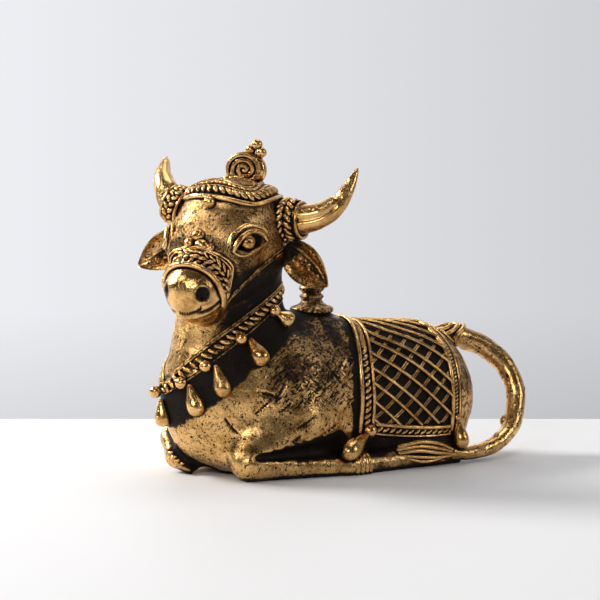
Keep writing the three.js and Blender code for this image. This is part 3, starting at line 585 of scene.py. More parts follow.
def brass(name, crust=0.0, closed_in=1.0, pits=0.5, strokes=0.0, fleck=0.5, polish=0.24, reach=0.0022):
    """Aged brass. crust adds to the mask, closed_in and fleck weigh the hollows and the noise,
    pits and strokes the marks, polish is the roughness of rubbed metal, reach the size of a hollow."""
    material = bpy.data.materials.new(name)
    material.use_nodes = True
    tree = material.node_tree
    shader = tree.nodes["Principled BSDF"]

    def node(kind, *inputs, **settings):
        """A node with its settings and its first inputs: numbers are typed in, sockets are linked."""
        made = tree.nodes.new(kind)
        for key, value in settings.items():
            setattr(made, key, value)
        for n, value in enumerate(inputs):
            if isinstance(value, bpy.types.NodeSocket):
                tree.links.new(value, made.inputs[n])
            elif value is not None:
                made.inputs[n].default_value = value
        return made

    def math_of(operation, *inputs, clamp=False):
        return node("ShaderNodeMath", *inputs, operation=operation, use_clamp=clamp).outputs[0]

    def larger(a, b):
        return math_of("MAXIMUM", a, b)

    def times(a, b):
        return math_of("MULTIPLY", a, b)

    def plus(total, *parts):
        """The total with each part added, times its weight."""
        for value, weight in parts:
            total = math_of("ADD", total, times(value, weight))
        return total

    def less(a, b):
        return math_of("SUBTRACT", a, b)

    def ramp(value, start, end):
        """0 at start, 1 at end, eased between them."""
        made = node("ShaderNodeMapRange", value, start, end, 0.0, 1.0, interpolation_type="SMOOTHSTEP")
        return made.outputs[0]

    def noise_of(where, scale, detail, rough, output="Fac"):
        made = node("ShaderNodeTexNoise", where)
        for key, value in (("Scale", scale), ("Detail", detail), ("Roughness", rough)):
            made.inputs[key].default_value = value
        return made.outputs[output]

    def vector_of(operation, a, b):
        return node("ShaderNodeVectorMath", a, b, operation=operation).outputs[0]

    mm = vector_of("MULTIPLY", node("ShaderNodeTexCoord").outputs["Object"], (PER_MM,) * 3)
    # The first number kept on each vertex is crust together with painted shade
    mask, hatch, hide = (node("ShaderNodeAttribute", attribute_name=key).outputs["Fac"]
                         for key in ("patina", "hatch", "hide"))

    broad = noise_of(mm, 0.16, 4.0, 0.62)
    flecks = noise_of(mm, 0.9, 5.0, 0.72)
    grain = noise_of(mm, 3.2, 3.0, 0.65)

    # Pits: a dot in each cell whose random number is high enough, on a place bent by noise so none is round
    bend = vector_of("SUBTRACT", noise_of(mm, 1.9, 2.0, 0.5, "Color"), (0.5,) * 3)
    bent = vector_of("ADD", mm, vector_of("MULTIPLY", bend, (1.5,) * 3))

    def pit_layer(scale, rare, size):
        cells = node("ShaderNodeTexVoronoi", bent, feature="F1")
        cells.inputs["Scale"].default_value = scale
        pick = node("ShaderNodeSeparateColor", cells.outputs["Color"]).outputs[0]
        big = times(ramp(pick, rare, 1.0), size)
        return ramp(less(big, cells.outputs["Distance"]), -0.02, 0.03)

    swarm = noise_of(mm, 0.33, 2.0, 0.5)
    pit = larger(pit_layer(1.1, 0.38, 0.50), pit_layer(2.1, 0.30, 0.56))
    pit = times(pit, ramp(swarm, 0.44, 0.50))
    pit = larger(pit, times(pit_layer(3.4, 0.50, 0.42), 0.75))
    pit = math_of("MULTIPLY", pit, pits, clamp=True)
    polished, haired_part = ramp(hide, 0.0, -0.6), larger(hide, 0.0)
    pit = times(pit, less(1.0, polished))

    # Strokes of a chisel and of rubbing: drawn-out noise in three directions
    def stroke_layer(turn, across, along, low, high):
        turned = node("ShaderNodeMapping", mm, vector_type="TEXTURE")
        turned.inputs["Rotation"].default_value = (0.0, math.radians(turn), 0.0)
        turned.inputs["Scale"].default_value = (1 / along, 1 / across, 1 / across)
        return ramp(noise_of(turned.outputs[0], 1.0, 2.0, 0.5), low, high)

    stroke = stroke_layer(-48, 1.1, 0.22, 0.57, 0.61)
    for turn in (-25, 42):
        stroke = larger(stroke, stroke_layer(turn, 1.6, 0.28, 0.59, 0.63))
    stroke = times(stroke, math_of("ADD", hatch, strokes, clamp=True))
    scratch = larger(stroke_layer(-38, 3.4, 0.14, 0.66, 0.72), stroke_layer(34, 3.0, 0.15, 0.67, 0.73))
    hair = larger(stroke_layer(-52, 4.0, 0.5, 0.52, 0.60), stroke_layer(38, 3.4, 0.42, 0.55, 0.63))
    hair = times(hair, haired_part)

    # The crust, which is also painted shade in places: what the place carries, the hollows, the noise, and
    # the marks
    # The hollows darken by ambient occlusion: their patina, and painted contact shade where parts close in
    hollow = node("ShaderNodeAmbientOcclusion", samples=8)
    hollow.inputs["Distance"].default_value = reach
    shut = ramp(less(1.0, hollow.outputs["AO"]), *SHUT_IN)
    calm = math_of("ADD", times(polished, CALM_POLISH), times(haired_part, CALM_HAIR))
    fleck = less(fleck, times(calm, fleck))
    total = plus(math_of("ADD", mask, crust), (shut, closed_in), (less(flecks, 0.5), fleck),
                 (less(broad, 0.5), fleck), (less(grain, 0.5), times(fleck, 0.5)))
    marks = {"flecks": flecks, "broad": broad, "grain": grain,
             "pit": pit, "stroke": stroke, "hair": hair, "scratch": scratch}
    total = plus(total, *((marks[key], weight) for key, weight in CRUST_OF.items()))
    tarnish_and_shade, crusted_and_shaded = ramp(total, *TO_BROWN), ramp(total, *TO_BLACK)

    def mixed(share, a, b):
        return node("ShaderNodeMixRGB", share, a, b).outputs[0]

    bright = mixed(ramp(broad, 0.42, 0.72), (*BRASS_BRIGHT, 1), (*BRASS_DEEP, 1))
    crust_and_shade_tone = mixed(ramp(grain, 0.47, 0.66), (*CRUST_AND_SHADE, 1), (*CRUST_DUST_AND_SHADE, 1))
    rough = plus(polish, (less(grain, 0.45), 0.16), (tarnish_and_shade, 0.14), (polished, -0.10))
    bump = node("ShaderNodeBump")
    bump.inputs["Strength"].default_value = BUMP_STRENGTH
    bump.inputs["Distance"].default_value = BUMP_DEPTH
    relief = plus(0.0, *((marks[key], weight) for key, weight in RELIEF_OF.items()))
    tree.links.new(relief, bump.inputs["Height"])
    for socket, value in {
        "Base Color": mixed(crusted_and_shaded, mixed(tarnish_and_shade, bright, (*TARNISH_AND_SHADE, 1)), crust_and_shade_tone),
        "Metallic": plus(1.0, (crusted_and_shaded, -0.8)),
        "Specular IOR Level": plus(0.5, (crusted_and_shaded, -0.36)),
        "Roughness": math_of("ADD", rough, times(crusted_and_shaded, 0.10), clamp=True),
        "Normal": bump.outputs["Normal"],
    }.items():
        tree.links.new(value, shader.inputs[socket])
    return material


BODY_BRASS = brass("brass_body", closed_in=0.8, pits=1.0, fleck=0.85, polish=0.27)
WIRE_BRASS = brass("brass_wires", crust=-0.06, closed_in=0.85, pits=0.3, fleck=0.7, polish=0.22, reach=0.0015)
BEAD_BRASS = brass("brass_beads", crust=-0.08, closed_in=0.9, pits=0.3, fleck=0.55, polish=0.15, reach=0.0018)
HORN_BRASS = brass("brass_horns", crust=0.0, closed_in=0.7, pits=0.12, fleck=0.42, polish=0.16, reach=0.002)
EAR_BRASS = brass("brass_ears", crust=0.12, closed_in=0.9, pits=0.8, fleck=1.0, polish=0.24, reach=0.004)
TAIL_BRASS = brass("brass_tail", crust=0.16, closed_in=0.8, pits=0.7, fleck=0.9, polish=0.20)
ROUGH_BRASS = brass("brass_rough", crust=0.14, closed_in=0.9, pits=0.8, strokes=0.3, fleck=1.1, polish=0.30)
DARK_BRASS = brass("brass_dark", crust=0.75, closed_in=0.9, pits=0.5, fleck=0.8, polish=0.40)
print("finishes:", [m.name for m in bpy.data.materials if m.name.startswith("brass")])

# %% [markdown]
# ## The body
#
# One mesh carries the whole bull without its ornaments. Its grid is close round the head
# and wider over the trunk. The marks that stand deeper than a scratch are moved into the
# mesh: gouges, the mouth, the crease across the throat. Three numbers go with every vertex:
# how much crust and painted shade it carries, how much it was chiselled, and how hairy or
# polished it is.

# %% Where the collar and the cloth lie
COLLAR_FRONT = np.array([-50.6, 28.6])
COLLAR_TIP = 0.7
COLLAR_FOLD = 0.25
COLLAR_AXIS_X = -28.0
CLOTH_AXIS_Z = 25.0
CLOTH_FRONT_X = 10.9
CLOTH_FRONT_RISE = 4.7
CLOTH_BAND = 5.4
CLOTH_REAR_X = 49.8
CLOTH_REAR_BAND = 3.8
HEM_TURN = 116.0


def below_collar(p):
    """How far a point lies below the collar's middle, which tips up to the back and folds to both sides."""
    height = COLLAR_FRONT[1] + COLLAR_TIP * (p[..., 0] - COLLAR_FRONT[0]) + COLLAR_FOLD * np.abs(p[..., 1])
    return height - p[..., 2]


def turn_round_trunk(p):
    """Degrees round the trunk's middle line, from the top towards the left flank."""
    return np.degrees(np.arctan2(-p[..., 1], p[..., 2] - CLOTH_AXIS_Z))


def cloth_front(degrees):
    """The front edge's x: a little farther back on top."""
    return CLOTH_FRONT_X + CLOTH_FRONT_RISE * np.maximum(0, np.cos(np.radians(degrees))) ** 3

# %% Gouges and lines cut into the body
def to_line(p, line):
    """Distance of each point to the nearest piece of a line, piece by piece."""
    line = np.asarray(line, float)
    best = np.full(p.shape[:-1], 1e3)
    for a, b in zip(line[:-1], line[1:]):
        along = b - a
        t = np.clip((p - a) @ along / (along @ along), 0, 1)
        best = np.minimum(best, np.linalg.norm(p - a - t[..., None] * along, axis=-1))
    return best


# Each gouge is drawn beside the flank and pressed in along y: x and z of its ends, depth, half width
GOUGES = (
    ((-37.4, 20.6), (-34.2, 16.2), 0.9, 0.55),
    ((-15.5, 17.0), (-8.5, 20.6), 1.0, 0.8),
    ((-22.6, 26.0), (-19.0, 31.8), 1.0, 0.8),
    ((-26.5, 29.0), (-22.0, 27.6), 0.9, 0.9),
    ((-28.4, 22.5), (-24.2, 26.5), 0.8, 0.6),
    ((-21.5, 22.8), (-17.5, 25.2), 0.8, 0.7),
    ((-12.5, 25.0), (-5.0, 30.0), 0.7, 0.6),
    ((-9.0, 33.0), (-3.5, 28.0), 0.6, 0.6),
    ((-17.0, 12.8), (-14.6, 14.0), 0.8, 0.9),
    ((-2.0, 37.0), (3.0, 31.0), 0.6, 0.6),
    ((-6.0, 14.0), (1.0, 17.0), 0.5, 0.5),
)
GOUGE_NARROW = 0.7
MOUTH = ((33.3, 0.2, -31.6), (32.8, 4.2, -30.6), (30.6, 7.3, -29.2), (28.6, 9.0, -27.3), (26.2, 10.0, -25.4))
PHILTRUM = ((38.0, 0.3, -20.5), (37.6, 0.6, -24.0), (36.0, 0.4, -28.0))
# Where the brisket meets the right foreleg, in the figure's own axes
BRISKET_FOLD = ((-43.5, 13.8, 14.9), (-44.4, 10.2, 12.4), (-45.0, 6.5, 9.9), (-44.4, 4.0, 7.8),
                (-43.2, 2.0, 6.0), (-41.7, -0.1, 4.5), (-38.9, -0.3, 3.0), (-35.0, -3.0, 1.2))
THROAT_LINE = ((-50.0, 8.0, 52.0), (-49.0, 0.0, 50.4), (-46.5, -6.5, 50.0), (-42.0, -10.5, 51.5),
               (-38.0, -12.0, 53.5))
FLANK_Y = -6.0


def to_gouge(p, a, b, half):
    """Distance from a gouge seen from the side, in its own half widths."""
    return to_line(p * (1, 0, 1), ((a[0], 0, a[1]), (b[0], 0, b[1]))) / (GOUGE_NARROW * half)


def mouth_open(q):
    """How open the mouth is drawn: only 0.35 in the middle, 0.75 at its corners."""
    return 0.35 + 0.4 * ease(q[:, 1], 3, 6)


def carved(p):
    """How far a point of the skin is moved out: gouges and lines are negative, thrown-up rims positive."""
    move = np.zeros(len(p))
    for a, b, depth, half in GOUGES:
        near = to_gouge(p, a, b, half)
        cut = depth * (0.3 * np.exp(-((near - 1.8) ** 2) * 2) - 0.8 * bell(near, 1))
        move += np.where(p[:, 1] < FLANK_Y, cut, 0)
    q = to_head(p)
    m = mirrored(q)
    mouth = to_line(m, MOUTH)
    move += 0.30 * bell(mouth - 1.3, 0.7) - mouth_open(m) * bell(mouth, 0.5)
    move -= 0.35 * bell(to_line(q, PHILTRUM), 0.6)
    move -= 0.5 * bell(to_line(p, THROAT_LINE), 0.45)
    move -= 1.7 * bell(to_line(p, BRISKET_FOLD), 1.4)
    return move + 0.20 * bell(np.linalg.norm(m - NOSTRIL, axis=-1) - 3.2, 0.6)


def rough_cast(p):
    """The unevenness of the wax: three sizes of soft noise, less on the head."""
    calm = 1 - 0.6 * ease(p[:, 2], 60, 70)
    return calm * (0.22 * noise(p, 9.0, 1) + 0.14 * noise(p, 3.6, 2) + 0.06 * noise(p, 1.6, 3))

# %% Crust, painted shade and chisel marks, told by the place
def chiselled(p):
    """1 on the shoulder between collar and cloth, fading out; weaker on the right and on the rump."""
    x, y, z = p.T
    shoulder = band(x, -27, -19, 8, 13) * ease(z, 20, 27) * ease(below_collar(p), 12, 17)
    rump = ease(x, 50, 53) * ease(z, 10, 16)
    return np.clip((shoulder + 0.55 * rump) * np.where(y < 0, 1.0, 0.6), 0, 1)


def down_face(q):
    """How far a point of the head lies down the face, along the way to the muzzle."""
    return q[:, 0] * 0.78 - q[:, 2] * 0.62


UNDER_EYE = ((8, 12, 20, 26), (11.5, 12.5, 14.5, 17))
# Painted shade lies under the cloth's front drop and in the recess above the leg bar
UNDER_DROP = (2.0, -20.9, 10.3)
WEDGE = ((-30, -25.5, 8.6), (15, -24.5, 11.2), 1.2, 6.0)
SOCKET_AXES = np.stack([EYE_ALONG / 6.2, EYE_RISE / 3.0, EYE_OUT / 6], -1)


def neck_crust_and_shade(p):
    """Dark areas of the neck: the field below the collar, a veil above it, and painted shade on the side
    behind the jaw.
    """
    down = below_collar(p) + 1.1 * noise(p, 5.0, 31) + 0.9 * noise(p, 1.7, 32)
    trunk_part = 1 - ease(p[:, 2], 66, 70)
    # The side behind the jaw is painted shade, where the head's shadow falls on the neck
    side = ease(p[:, 0], -42, -34) * band(p[:, 2], 44, 52, 74, 80) * ease(-down, 1, 3)
    return [band(down, -1.5, 0.5, 11.6, 15.2) * trunk_part,
            0.42 * band(down, -9, -3, -2.6, -1.6) * trunk_part,
            0.78 * side * ease(head_field(p), 0.5, 3.0)], down


def trunk_crust_and_shade(p):
    """Dark areas of the trunk: under the cloth, the chiselled shoulder, the shoulders' top, and painted shade
    low down.
    """
    x, y, z = p.T
    turned = turn_round_trunk(p)
    front = cloth_front(turned) + 0.9 * noise(p, 2.6, 38) + 0.6 * noise(p, 1.2, 39)
    cloth = band(x, front - 3.4, front - 1.4, CLOTH_REAR_X + 0.3, CLOTH_REAR_X + 2)
    cloth = cloth * (1 - ease(np.abs(turned), HEM_TURN + 7, HEM_TURN + 9.5))
    rough = 0.34 * chiselled(p) * ease(z, 24, 32) * (1 + 0.9 * noise(p, 7.0, 33) + 0.5 * noise(p, 3.0, 34))
    top = band(x, -20, -12, 14, 18) * ease(z + 1.5 * noise(p, 4.0, 35), 41, 48)
    top = top * (0.44 + 0.35 * noise(p, 1.8, 41))
    # Painted contact shade: darker low down by the ground on the right side
    low = 0.7 * (1 - ease(z, 1.0, 3.2)) * ease(y, 0, 6)
    trunk_part = 1 - ease(z, 66, 70)
    return [cloth, rough * trunk_part, top * trunk_part, low * trunk_part]


def leg_crust_and_shade(p):
    """Dark areas of the legs: painted shade in the wedge above the bar, under the cloth's drop and in the
    brisket's fold; also the belly and the bar itself.
    """
    x, y, z = p.T
    # Painted shade: the recess above the leg bar, the place under the cloth's drop and the brisket's fold are
    # darkened where shade falls
    wedge = limb(p, *WEDGE) + 0.5 * noise(p, 2.2, 36)
    belly = band(x, 2, 10, 52, 56) * band(z, 5.5, 7.5, 11.5, 13.5)
    fold = to_line(p, BRISKET_FOLD) - np.interp(y, (-2, 3, 9), (2.3, 1.9, 1.0))
    return [1 - ease(wedge, -0.6, 0.5), 1 - ease(np.linalg.norm(p - UNDER_DROP, axis=-1), 4.0, 5.5),
            0.72 * belly, 0.34 * ease(x, 10, 14) * (1 - ease(z, 7, 8.5)) * (y < -12),
            0.14 * ease(x, -26, -20) * (1 - ease(z, 6.5, 7.5)) * (y < -18), 1 - ease(fold, -0.3, 0.6)]


def face_crust_and_shade(p):
    """Dark areas of the head: sockets, nostrils, lips, painted shade under the jaw, cheek, nose band, the
    cap's edge, temples.
    """
    q = mirrored(to_head(p))
    x, y, z = q.T
    face, on_head_part = down_face(q), 1 - ease(head_field(p), 0.5, 3.0)
    over_neck, over_collar = ease(p[:, 2], 60, 66), ease(p[:, 2], 55, 60)
    under_eye = np.interp(x, *UNDER_EYE)
    return [1 - ease(np.linalg.norm((q - EYE_AT) @ SOCKET_AXES, axis=-1), 0.95, 1.12),
            1 - ease(np.linalg.norm(q - NOSTRIL, axis=-1), 2.1, 3.0),
            (0.15 + 0.09 * ease(face, 34, 37)) * ease(x, 2, 8) * on_head_part,
            (0.25 + 0.55 * ease(y, 3, 6)) * bell(to_line(q, MOUTH), 0.8),
            # Painted shade under the jaw
            0.8 * ease(-z, 15, 22) * (1 - ease(x, 17, 23)) * ease(p[:, 2], 52, 60),
            0.62 * ease(-z, under_eye, under_eye + 3) * (1 - ease(x, 19, 26)) * ease(y, 6, 10) * over_neck,
            0.95 * band(face, 27.5, 29, 36.6, 37.4) * over_collar,
            0.38 * band(face, 22, 27, 27, 29) * over_collar, 0.9 * band(z, 4.0, 5.0, 9.4, 10.2) * over_neck,
            0.30 * ease(y, 8, 13) * (1 - ease(x, 14, 20)) * ease(z, -8, -2) * on_head_part]


def crust_and_shade_on(p):
    """Crust and painted shade by place: each point takes the darkest area that it lies in; the low chest is
    rubbed bare.
    """
    areas, down = neck_crust_and_shade(p)
    areas = areas + trunk_crust_and_shade(p) + leg_crust_and_shade(p) + face_crust_and_shade(p)
    for a, b, depth, half in GOUGES:
        areas.append(np.where(p[:, 1] < FLANK_Y, 0.75 * bell(1.3 * to_gouge(p, a, b, half), 1), 0))
    crust = np.maximum.reduce(areas)
    rubbed = 0.16 * ease(down, 15.5, 18) * (1 - ease(p[:, 0], -14, -2)) * (1 - ease(p[:, 2], 22, 30))
    return crust - rubbed * (crust < 0.1)


def haired(p):
    """1 for fine engraved hair all over the head, less on the throat; the muzzle is -1, which is polish."""
    q = to_head(p)
    face, on_head_part = down_face(q), 1 - ease(head_field(p), 0.5, 3.0)
    hair = ease(q[:, 0], 0, 8) * (1 - ease(face, 34, 37)) * on_head_part * (0.75 + 0.5 * noise(p, 6.0, 37))
    throat = 0.35 * ease(p[:, 2], 40, 48) * (1 - on_head_part)
    return np.maximum(hair, throat) - ease(face, 36, 38.5) * on_head_part

# %% Body mesh
def spans(*parts):
    """Grid lines over several stretches, each given as (from, to, spacing)."""
    lines = [np.linspace(a, b, int(round((b - a) / step)) + 1) for a, b, step in parts]
    return np.unique(np.concatenate(lines))


# Along x, y and z: finer over the head, the chest and the left side
BODY_LINES = (
    spans((-58, 14, 0.60), (14, 66, 1.1)),
    spans((-30, 0, 0.62), (0, 30, 0.9)),
    spans((-0.5, 55, 0.68), (55, 103, 0.56)),
)
SOLE = 0.25
body_points, body_faces = skin_field(bull, BODY_LINES)
# The first number is the crust together with the painted shade
body_values = {"patina": crust_and_shade_on(body_points), "hatch": chiselled(body_points), "hide": haired(body_points)}
on_ground = body_points[:, 2] < GROUND + SOLE
shift = np.where(on_ground, 0, carved(body_points) + rough_cast(body_points))
body_points = body_points + slope(bull, body_points) * shift[:, None]
body_points[on_ground, 2] = GROUND
body_points[:, 2] = np.maximum(body_points[:, 2], GROUND)
add_piece("bull_body", body_points, body_faces, BODY_BRASS, body_values)

# %% [markdown]
# ## Wires, leaves and beads
#
# In the lost-wax way the ornament is rolled wax: threads pressed on in lines, short threads
# pinched into leaves, small balls, and drops. So there are only a few shapes here. A
# wire is a row of rings along a line. A leaf, a ball and a drop are made once in a small
# size and set down many times, each in axes of its own, which is cheap and keeps each
# one a closed body.

# %% Shapes as points with four- and three-cornered faces
def outward(points, quads, tris):
    """The same shape with its faces turned so that its volume comes out positive."""
    all_tris = np.vstack([quads[:, [0, 1, 2]], quads[:, [0, 2, 3]], tris])
    a, b, c = (points[all_tris[:, n]] - points.mean(0) for n in range(3))
    if np.einsum("ij,ij->i", a, np.cross(b, c)).sum() < 0:
        quads, tris = quads[:, ::-1], tris[:, ::-1]
    return points, quads, tris


def skin_rings(rings, closed=False):
    """A body from rings of points; each open end is closed by a fan round the middle of its ring."""
    rings = np.asarray(rings, float)
    rows, sides = rings.shape[:2]
    r, s = np.meshgrid(np.arange(rows if closed else rows - 1), np.arange(sides), indexing="ij")
    next_r, next_s = (r + 1) % rows, (s + 1) % sides
    quads = np.stack([r * sides + s, r * sides + next_s, next_r * sides + next_s, next_r * sides + s], -1)
    points, tris = rings.reshape(-1, 3), np.zeros((0, 3), int)
    if not closed:
        k = np.arange(sides)
        first, last = len(points), (rows - 1) * sides
        points = np.vstack([points, rings[0].mean(0), rings[-1].mean(0)])
        start = np.stack([np.full(sides, first), (k + 1) % sides, k], -1)
        end = np.stack([np.full(sides, first + 1), last + k, last + (k + 1) % sides], -1)
        tris = np.vstack([start, end])
    return outward(points, quads.reshape(-1, 4), tris)


def together(shapes):
    """Several shapes as one."""
    starts = np.cumsum([0] + [len(s[0]) for s in shapes[:-1]])
    faces = [np.vstack([s[n] + start for s, start in zip(shapes, starts)]) for n in (1, 2)]
    return np.vstack([s[0] for s in shapes]), *faces


def add_shape(name, shapes, material, values=None):
    """Puts one shape or a list of them into the scene as one piece, kept above the ground."""
    points, quads, tris = together(shapes if isinstance(shapes, list) else [shapes])
    points[:, 2] = np.maximum(points[:, 2], GROUND)
    faces = [f for f in (quads, tris) if len(f)]
    return add_piece(name, points, faces, material, values(points) if values else None)

# %% Wires
def heading(line, closed=False):
    """The unit direction of a line at each of its points."""
    if closed:
        return unit(np.roll(line, -1, 0) - np.roll(line, 1, 0))
    return unit(np.gradient(line, axis=0))


def wire(line, radius, out=(0, 0, 1), sides=8, closed=False, flat=1.0):
    """Rings of the given radius along a line; flat presses them along out; open ends are rounded."""
    line = np.asarray(line, float)
    radius = np.broadcast_to(np.asarray(radius, float), (len(line),)).copy()
    way = heading(line, closed)
    out = np.broadcast_to(np.asarray(out, float), line.shape)
    if not closed:
        turn = np.radians([30, 60, 80])
        (head_end, head_r), (tail_end, tail_r) = [
            (line[n] + sign * np.outer(np.sin(turn) * radius[n], way[n]), np.cos(turn) * radius[n])
            for n, sign in ((0, -1), (-1, 1))]
        line = np.vstack([head_end[::-1], line, tail_end])
        radius = np.concatenate([head_r[::-1], radius, tail_r])
        way, out = (np.vstack([v[[0, 0, 0]], v, v[[-1, -1, -1]]]) for v in (way, out))
    across = unit(np.cross(out, way))
    up = np.cross(way, across)
    a = np.linspace(0, 2 * np.pi, sides, endpoint=False)
    rings = (line[:, None] + across[:, None] * (radius[:, None] * np.cos(a))[..., None]
             + up[:, None] * (flat * radius[:, None] * np.sin(a))[..., None])
    return skin_rings(rings, closed)


def tapering(marks, radii, count, sides, out):
    """A limb through marks with its radii spread along it. Also its line, and for each point of its
    skin the number of the line's point that it lies round and the direction away from there."""
    line = smooth_line(marks, count)
    radius = np.interp(np.linspace(0, 1, count), np.linspace(0, 1, len(radii)), radii)
    points, quads, tris = wire(line, radius, out=out, sides=sides)
    near = np.repeat(np.concatenate([[0] * 3, np.arange(count), [count - 1] * 3]), sides)
    near = np.append(near, (0, count - 1))
    return (points, quads, tris), line, near, unit(points - line[near])


def at_steps(rows, spacing, first, closed):
    """Rows of numbers that begin with a line's points, read again at equal steps along that line, the
    first of them at this share of a step."""
    if closed:
        rows = np.vstack([rows, rows[:1]])
    reach = np.concatenate([[0], np.cumsum(np.linalg.norm(np.diff(rows[:, :3], axis=0), axis=1))])
    many = max(2, int(round(reach[-1] / spacing)))
    at = (np.arange(many) + first) * reach[-1] / many
    return np.stack([np.interp(at, reach, column) for column in rows.T], -1)


def thread(laid, radius, rise, closed=False, sides=8):
    """A wire along a line on the skin, raised along the line's outward directions."""
    line, out = laid
    return wire(line + out * rise, radius, out=out, sides=sides, closed=closed)

# %% Leaves, balls, drops and turned shapes
def lathe(profile, sides):
    """A body turned round z from (radius, height) pairs; the first and last radius may be 0."""
    profile = np.asarray(profile, float)
    radius, height = np.maximum(profile[:, :1], 1e-3), profile[:, 1:]
    a = np.linspace(0, 2 * np.pi, sides, endpoint=False)
    return skin_rings(np.stack([radius * np.cos(a), radius * np.sin(a), height + 0 * a], -1))


def set_down(shape, at, x_way, z_way, size):
    """Copies of a shape: one at each place, its x turned to x_way and its z to z_way, stretched by size."""
    at = np.atleast_2d(np.asarray(at, float))
    many = len(at)
    z = unit(np.broadcast_to(z_way, (many, 3)))
    y = unit(np.cross(z, np.broadcast_to(x_way, (many, 3))))
    x = np.cross(y, z)
    size = np.broadcast_to(np.asarray(size, float), (many, 3))
    points, quads, tris = shape
    scaled = points[None] * size[:, None]
    placed = at[:, None] + np.einsum("mpk,mkj->mpj", scaled, np.stack([x, y, z], 1))
    starts = (np.arange(many) * len(points))[:, None, None]
    return placed.reshape(-1, 3), (quads + starts).reshape(-1, 4), (tris + starts).reshape(-1, 3)


def ball_shape(rings, sides):
    """A ball of radius 1."""
    turn = np.linspace(0, np.pi, rings)
    return lathe(np.stack([np.sin(turn), -np.cos(turn)], -1), sides)


BALL, FINE_BALL, SMALL_BALL = ball_shape(9, 12), ball_shape(15, 24), ball_shape(5, 7)
DROP_PROFILE = ((0, 0), (0.20, 0.005), (0.30, 0.04), (0.37, 0.11), (0.49, 0.21), (0.65, 0.33), (0.81, 0.45),
                (0.93, 0.56), (1.0, 0.68), (0.98, 0.78), (0.87, 0.87), (0.67, 0.94), (0.40, 0.985), (0, 1.0))
DROP = lathe(DROP_PROFILE, 24)
leaf_at = np.cos(np.linspace(np.pi, 0, 7))[1:-1, None]
leaf_wide = (1 - leaf_at**2) ** 0.62
leaf_turn = np.linspace(0, 2 * np.pi, 6, endpoint=False)
LEAF = skin_rings(np.stack([leaf_at + 0 * leaf_turn, leaf_wide * np.cos(leaf_turn),
                            leaf_wide * np.sin(leaf_turn)], -1))


def balls(at, radius, shape=BALL):
    """A ball at each place."""
    at = np.atleast_2d(np.asarray(at, float))
    radius = np.broadcast_to(np.asarray(radius, float), (len(at),))
    return set_down(shape, at, (1, 0, 0), (0, 0, 1), np.repeat(radius[:, None], 3, 1))


def drop_between(top, foot, radius):
    """A drop with its thin end at top and its round end at foot."""
    top, foot = np.asarray(top, float), np.asarray(foot, float)
    return set_down(DROP, top, (1, 0.2, 0), foot - top, (radius, radius, np.linalg.norm(foot - top)))


def leaf_row(laid, pitch, slant, size, rise, closed=False, uneven=0.0):
    """Leaves along a line on the skin, raised by rise, each turned by slant degrees off the line's
    direction in the surface. uneven is how many degrees a leaf may be off at most."""
    line, out = laid
    line, out = line + out * rise, np.broadcast_to(out, line.shape)
    slant = np.broadcast_to(np.asarray(slant, float), (len(line),))
    along = at_steps(np.hstack([line, out, slant[:, None]]), pitch, 0.5, closed)
    at, up = along[:, :3], unit(along[:, 3:6])
    way = heading(at, closed)
    side = np.cross(up, way)
    chance = np.random.default_rng(len(at)).uniform(-1, 1, (2, len(at), 1))
    a = np.radians(along[:, 6:] + uneven * chance[0])
    size = np.asarray(size) * (1 + uneven / 120 * chance[1])
    return set_down(LEAF, at, way * np.cos(a) + side * np.sin(a), up, size)

# %% [markdown]
# ## Horns and the braids round them
#
# The horns sweep out and up. The left one is laid in two lobes with a groove between them,
# and the lower lobe ends halfway in a step. The right one is thicker and rises sooner. The
# maker laid a braid of short leaves round each root, two and two like a plait, with a
# thread on either side.

# %% Horns
# The cuff runs from its first point to its second, with a radius at each
LEFT_HORN = {
    "line": ((-2.5, 9, -2.5), (-0.5, 15, -1), (-0.4, 22.5, -0.6), (-1.8, 28.2, 1), (-4.2, 32.4, 4.4),
             (-7.2, 35, 9.8), (-10.0, 36.1, 15.0), (-10.9, 36.3, 16.6)),
    "radii": (4.8, 4.9, 4.7, 4.1, 3.35, 2.35, 1.15, 0.55),
    "cuff": ((-0.8, 14.6, -1.5), (-1.2, 22.6, -0.9), 7.3, 6.2),
}
RIGHT_HORN = {
    "line": ((-0.5, -9, -7), (-0.5, -13.5, -4.5), (-0.8, -20.5, -1.6), (-0.8, -26.3, 1.4),
             (-1.2, -28.9, 4.6), (-2.6, -30.9, 7.1), (-4.8, -32.7, 9.7), (-7.2, -33.8, 12.1),
             (-9.3, -34.6, 14.1), (-10.1, -34.8, 15.0)),
    "radii": (5.4, 5.4, 5.2, 4.7, 4.2, 3.6, 2.9, 2.1, 1.25, 0.6),
    "cuff": ((-0.8, -21.6, -0.6), (-0.8, -27.0, 1.1), 6.9, 6.2),
}
GROOVE_FACES = unit(np.array([0.888, 0.446, 0.05]))
LOBE_END, NOTCH_AT = 0.60, 0.76


def own(q, side):
    """A head point, or its mirror image on the head's right for side -1, in the figure's axes."""
    return from_head(np.asarray(q, float) * (1, side, 1))


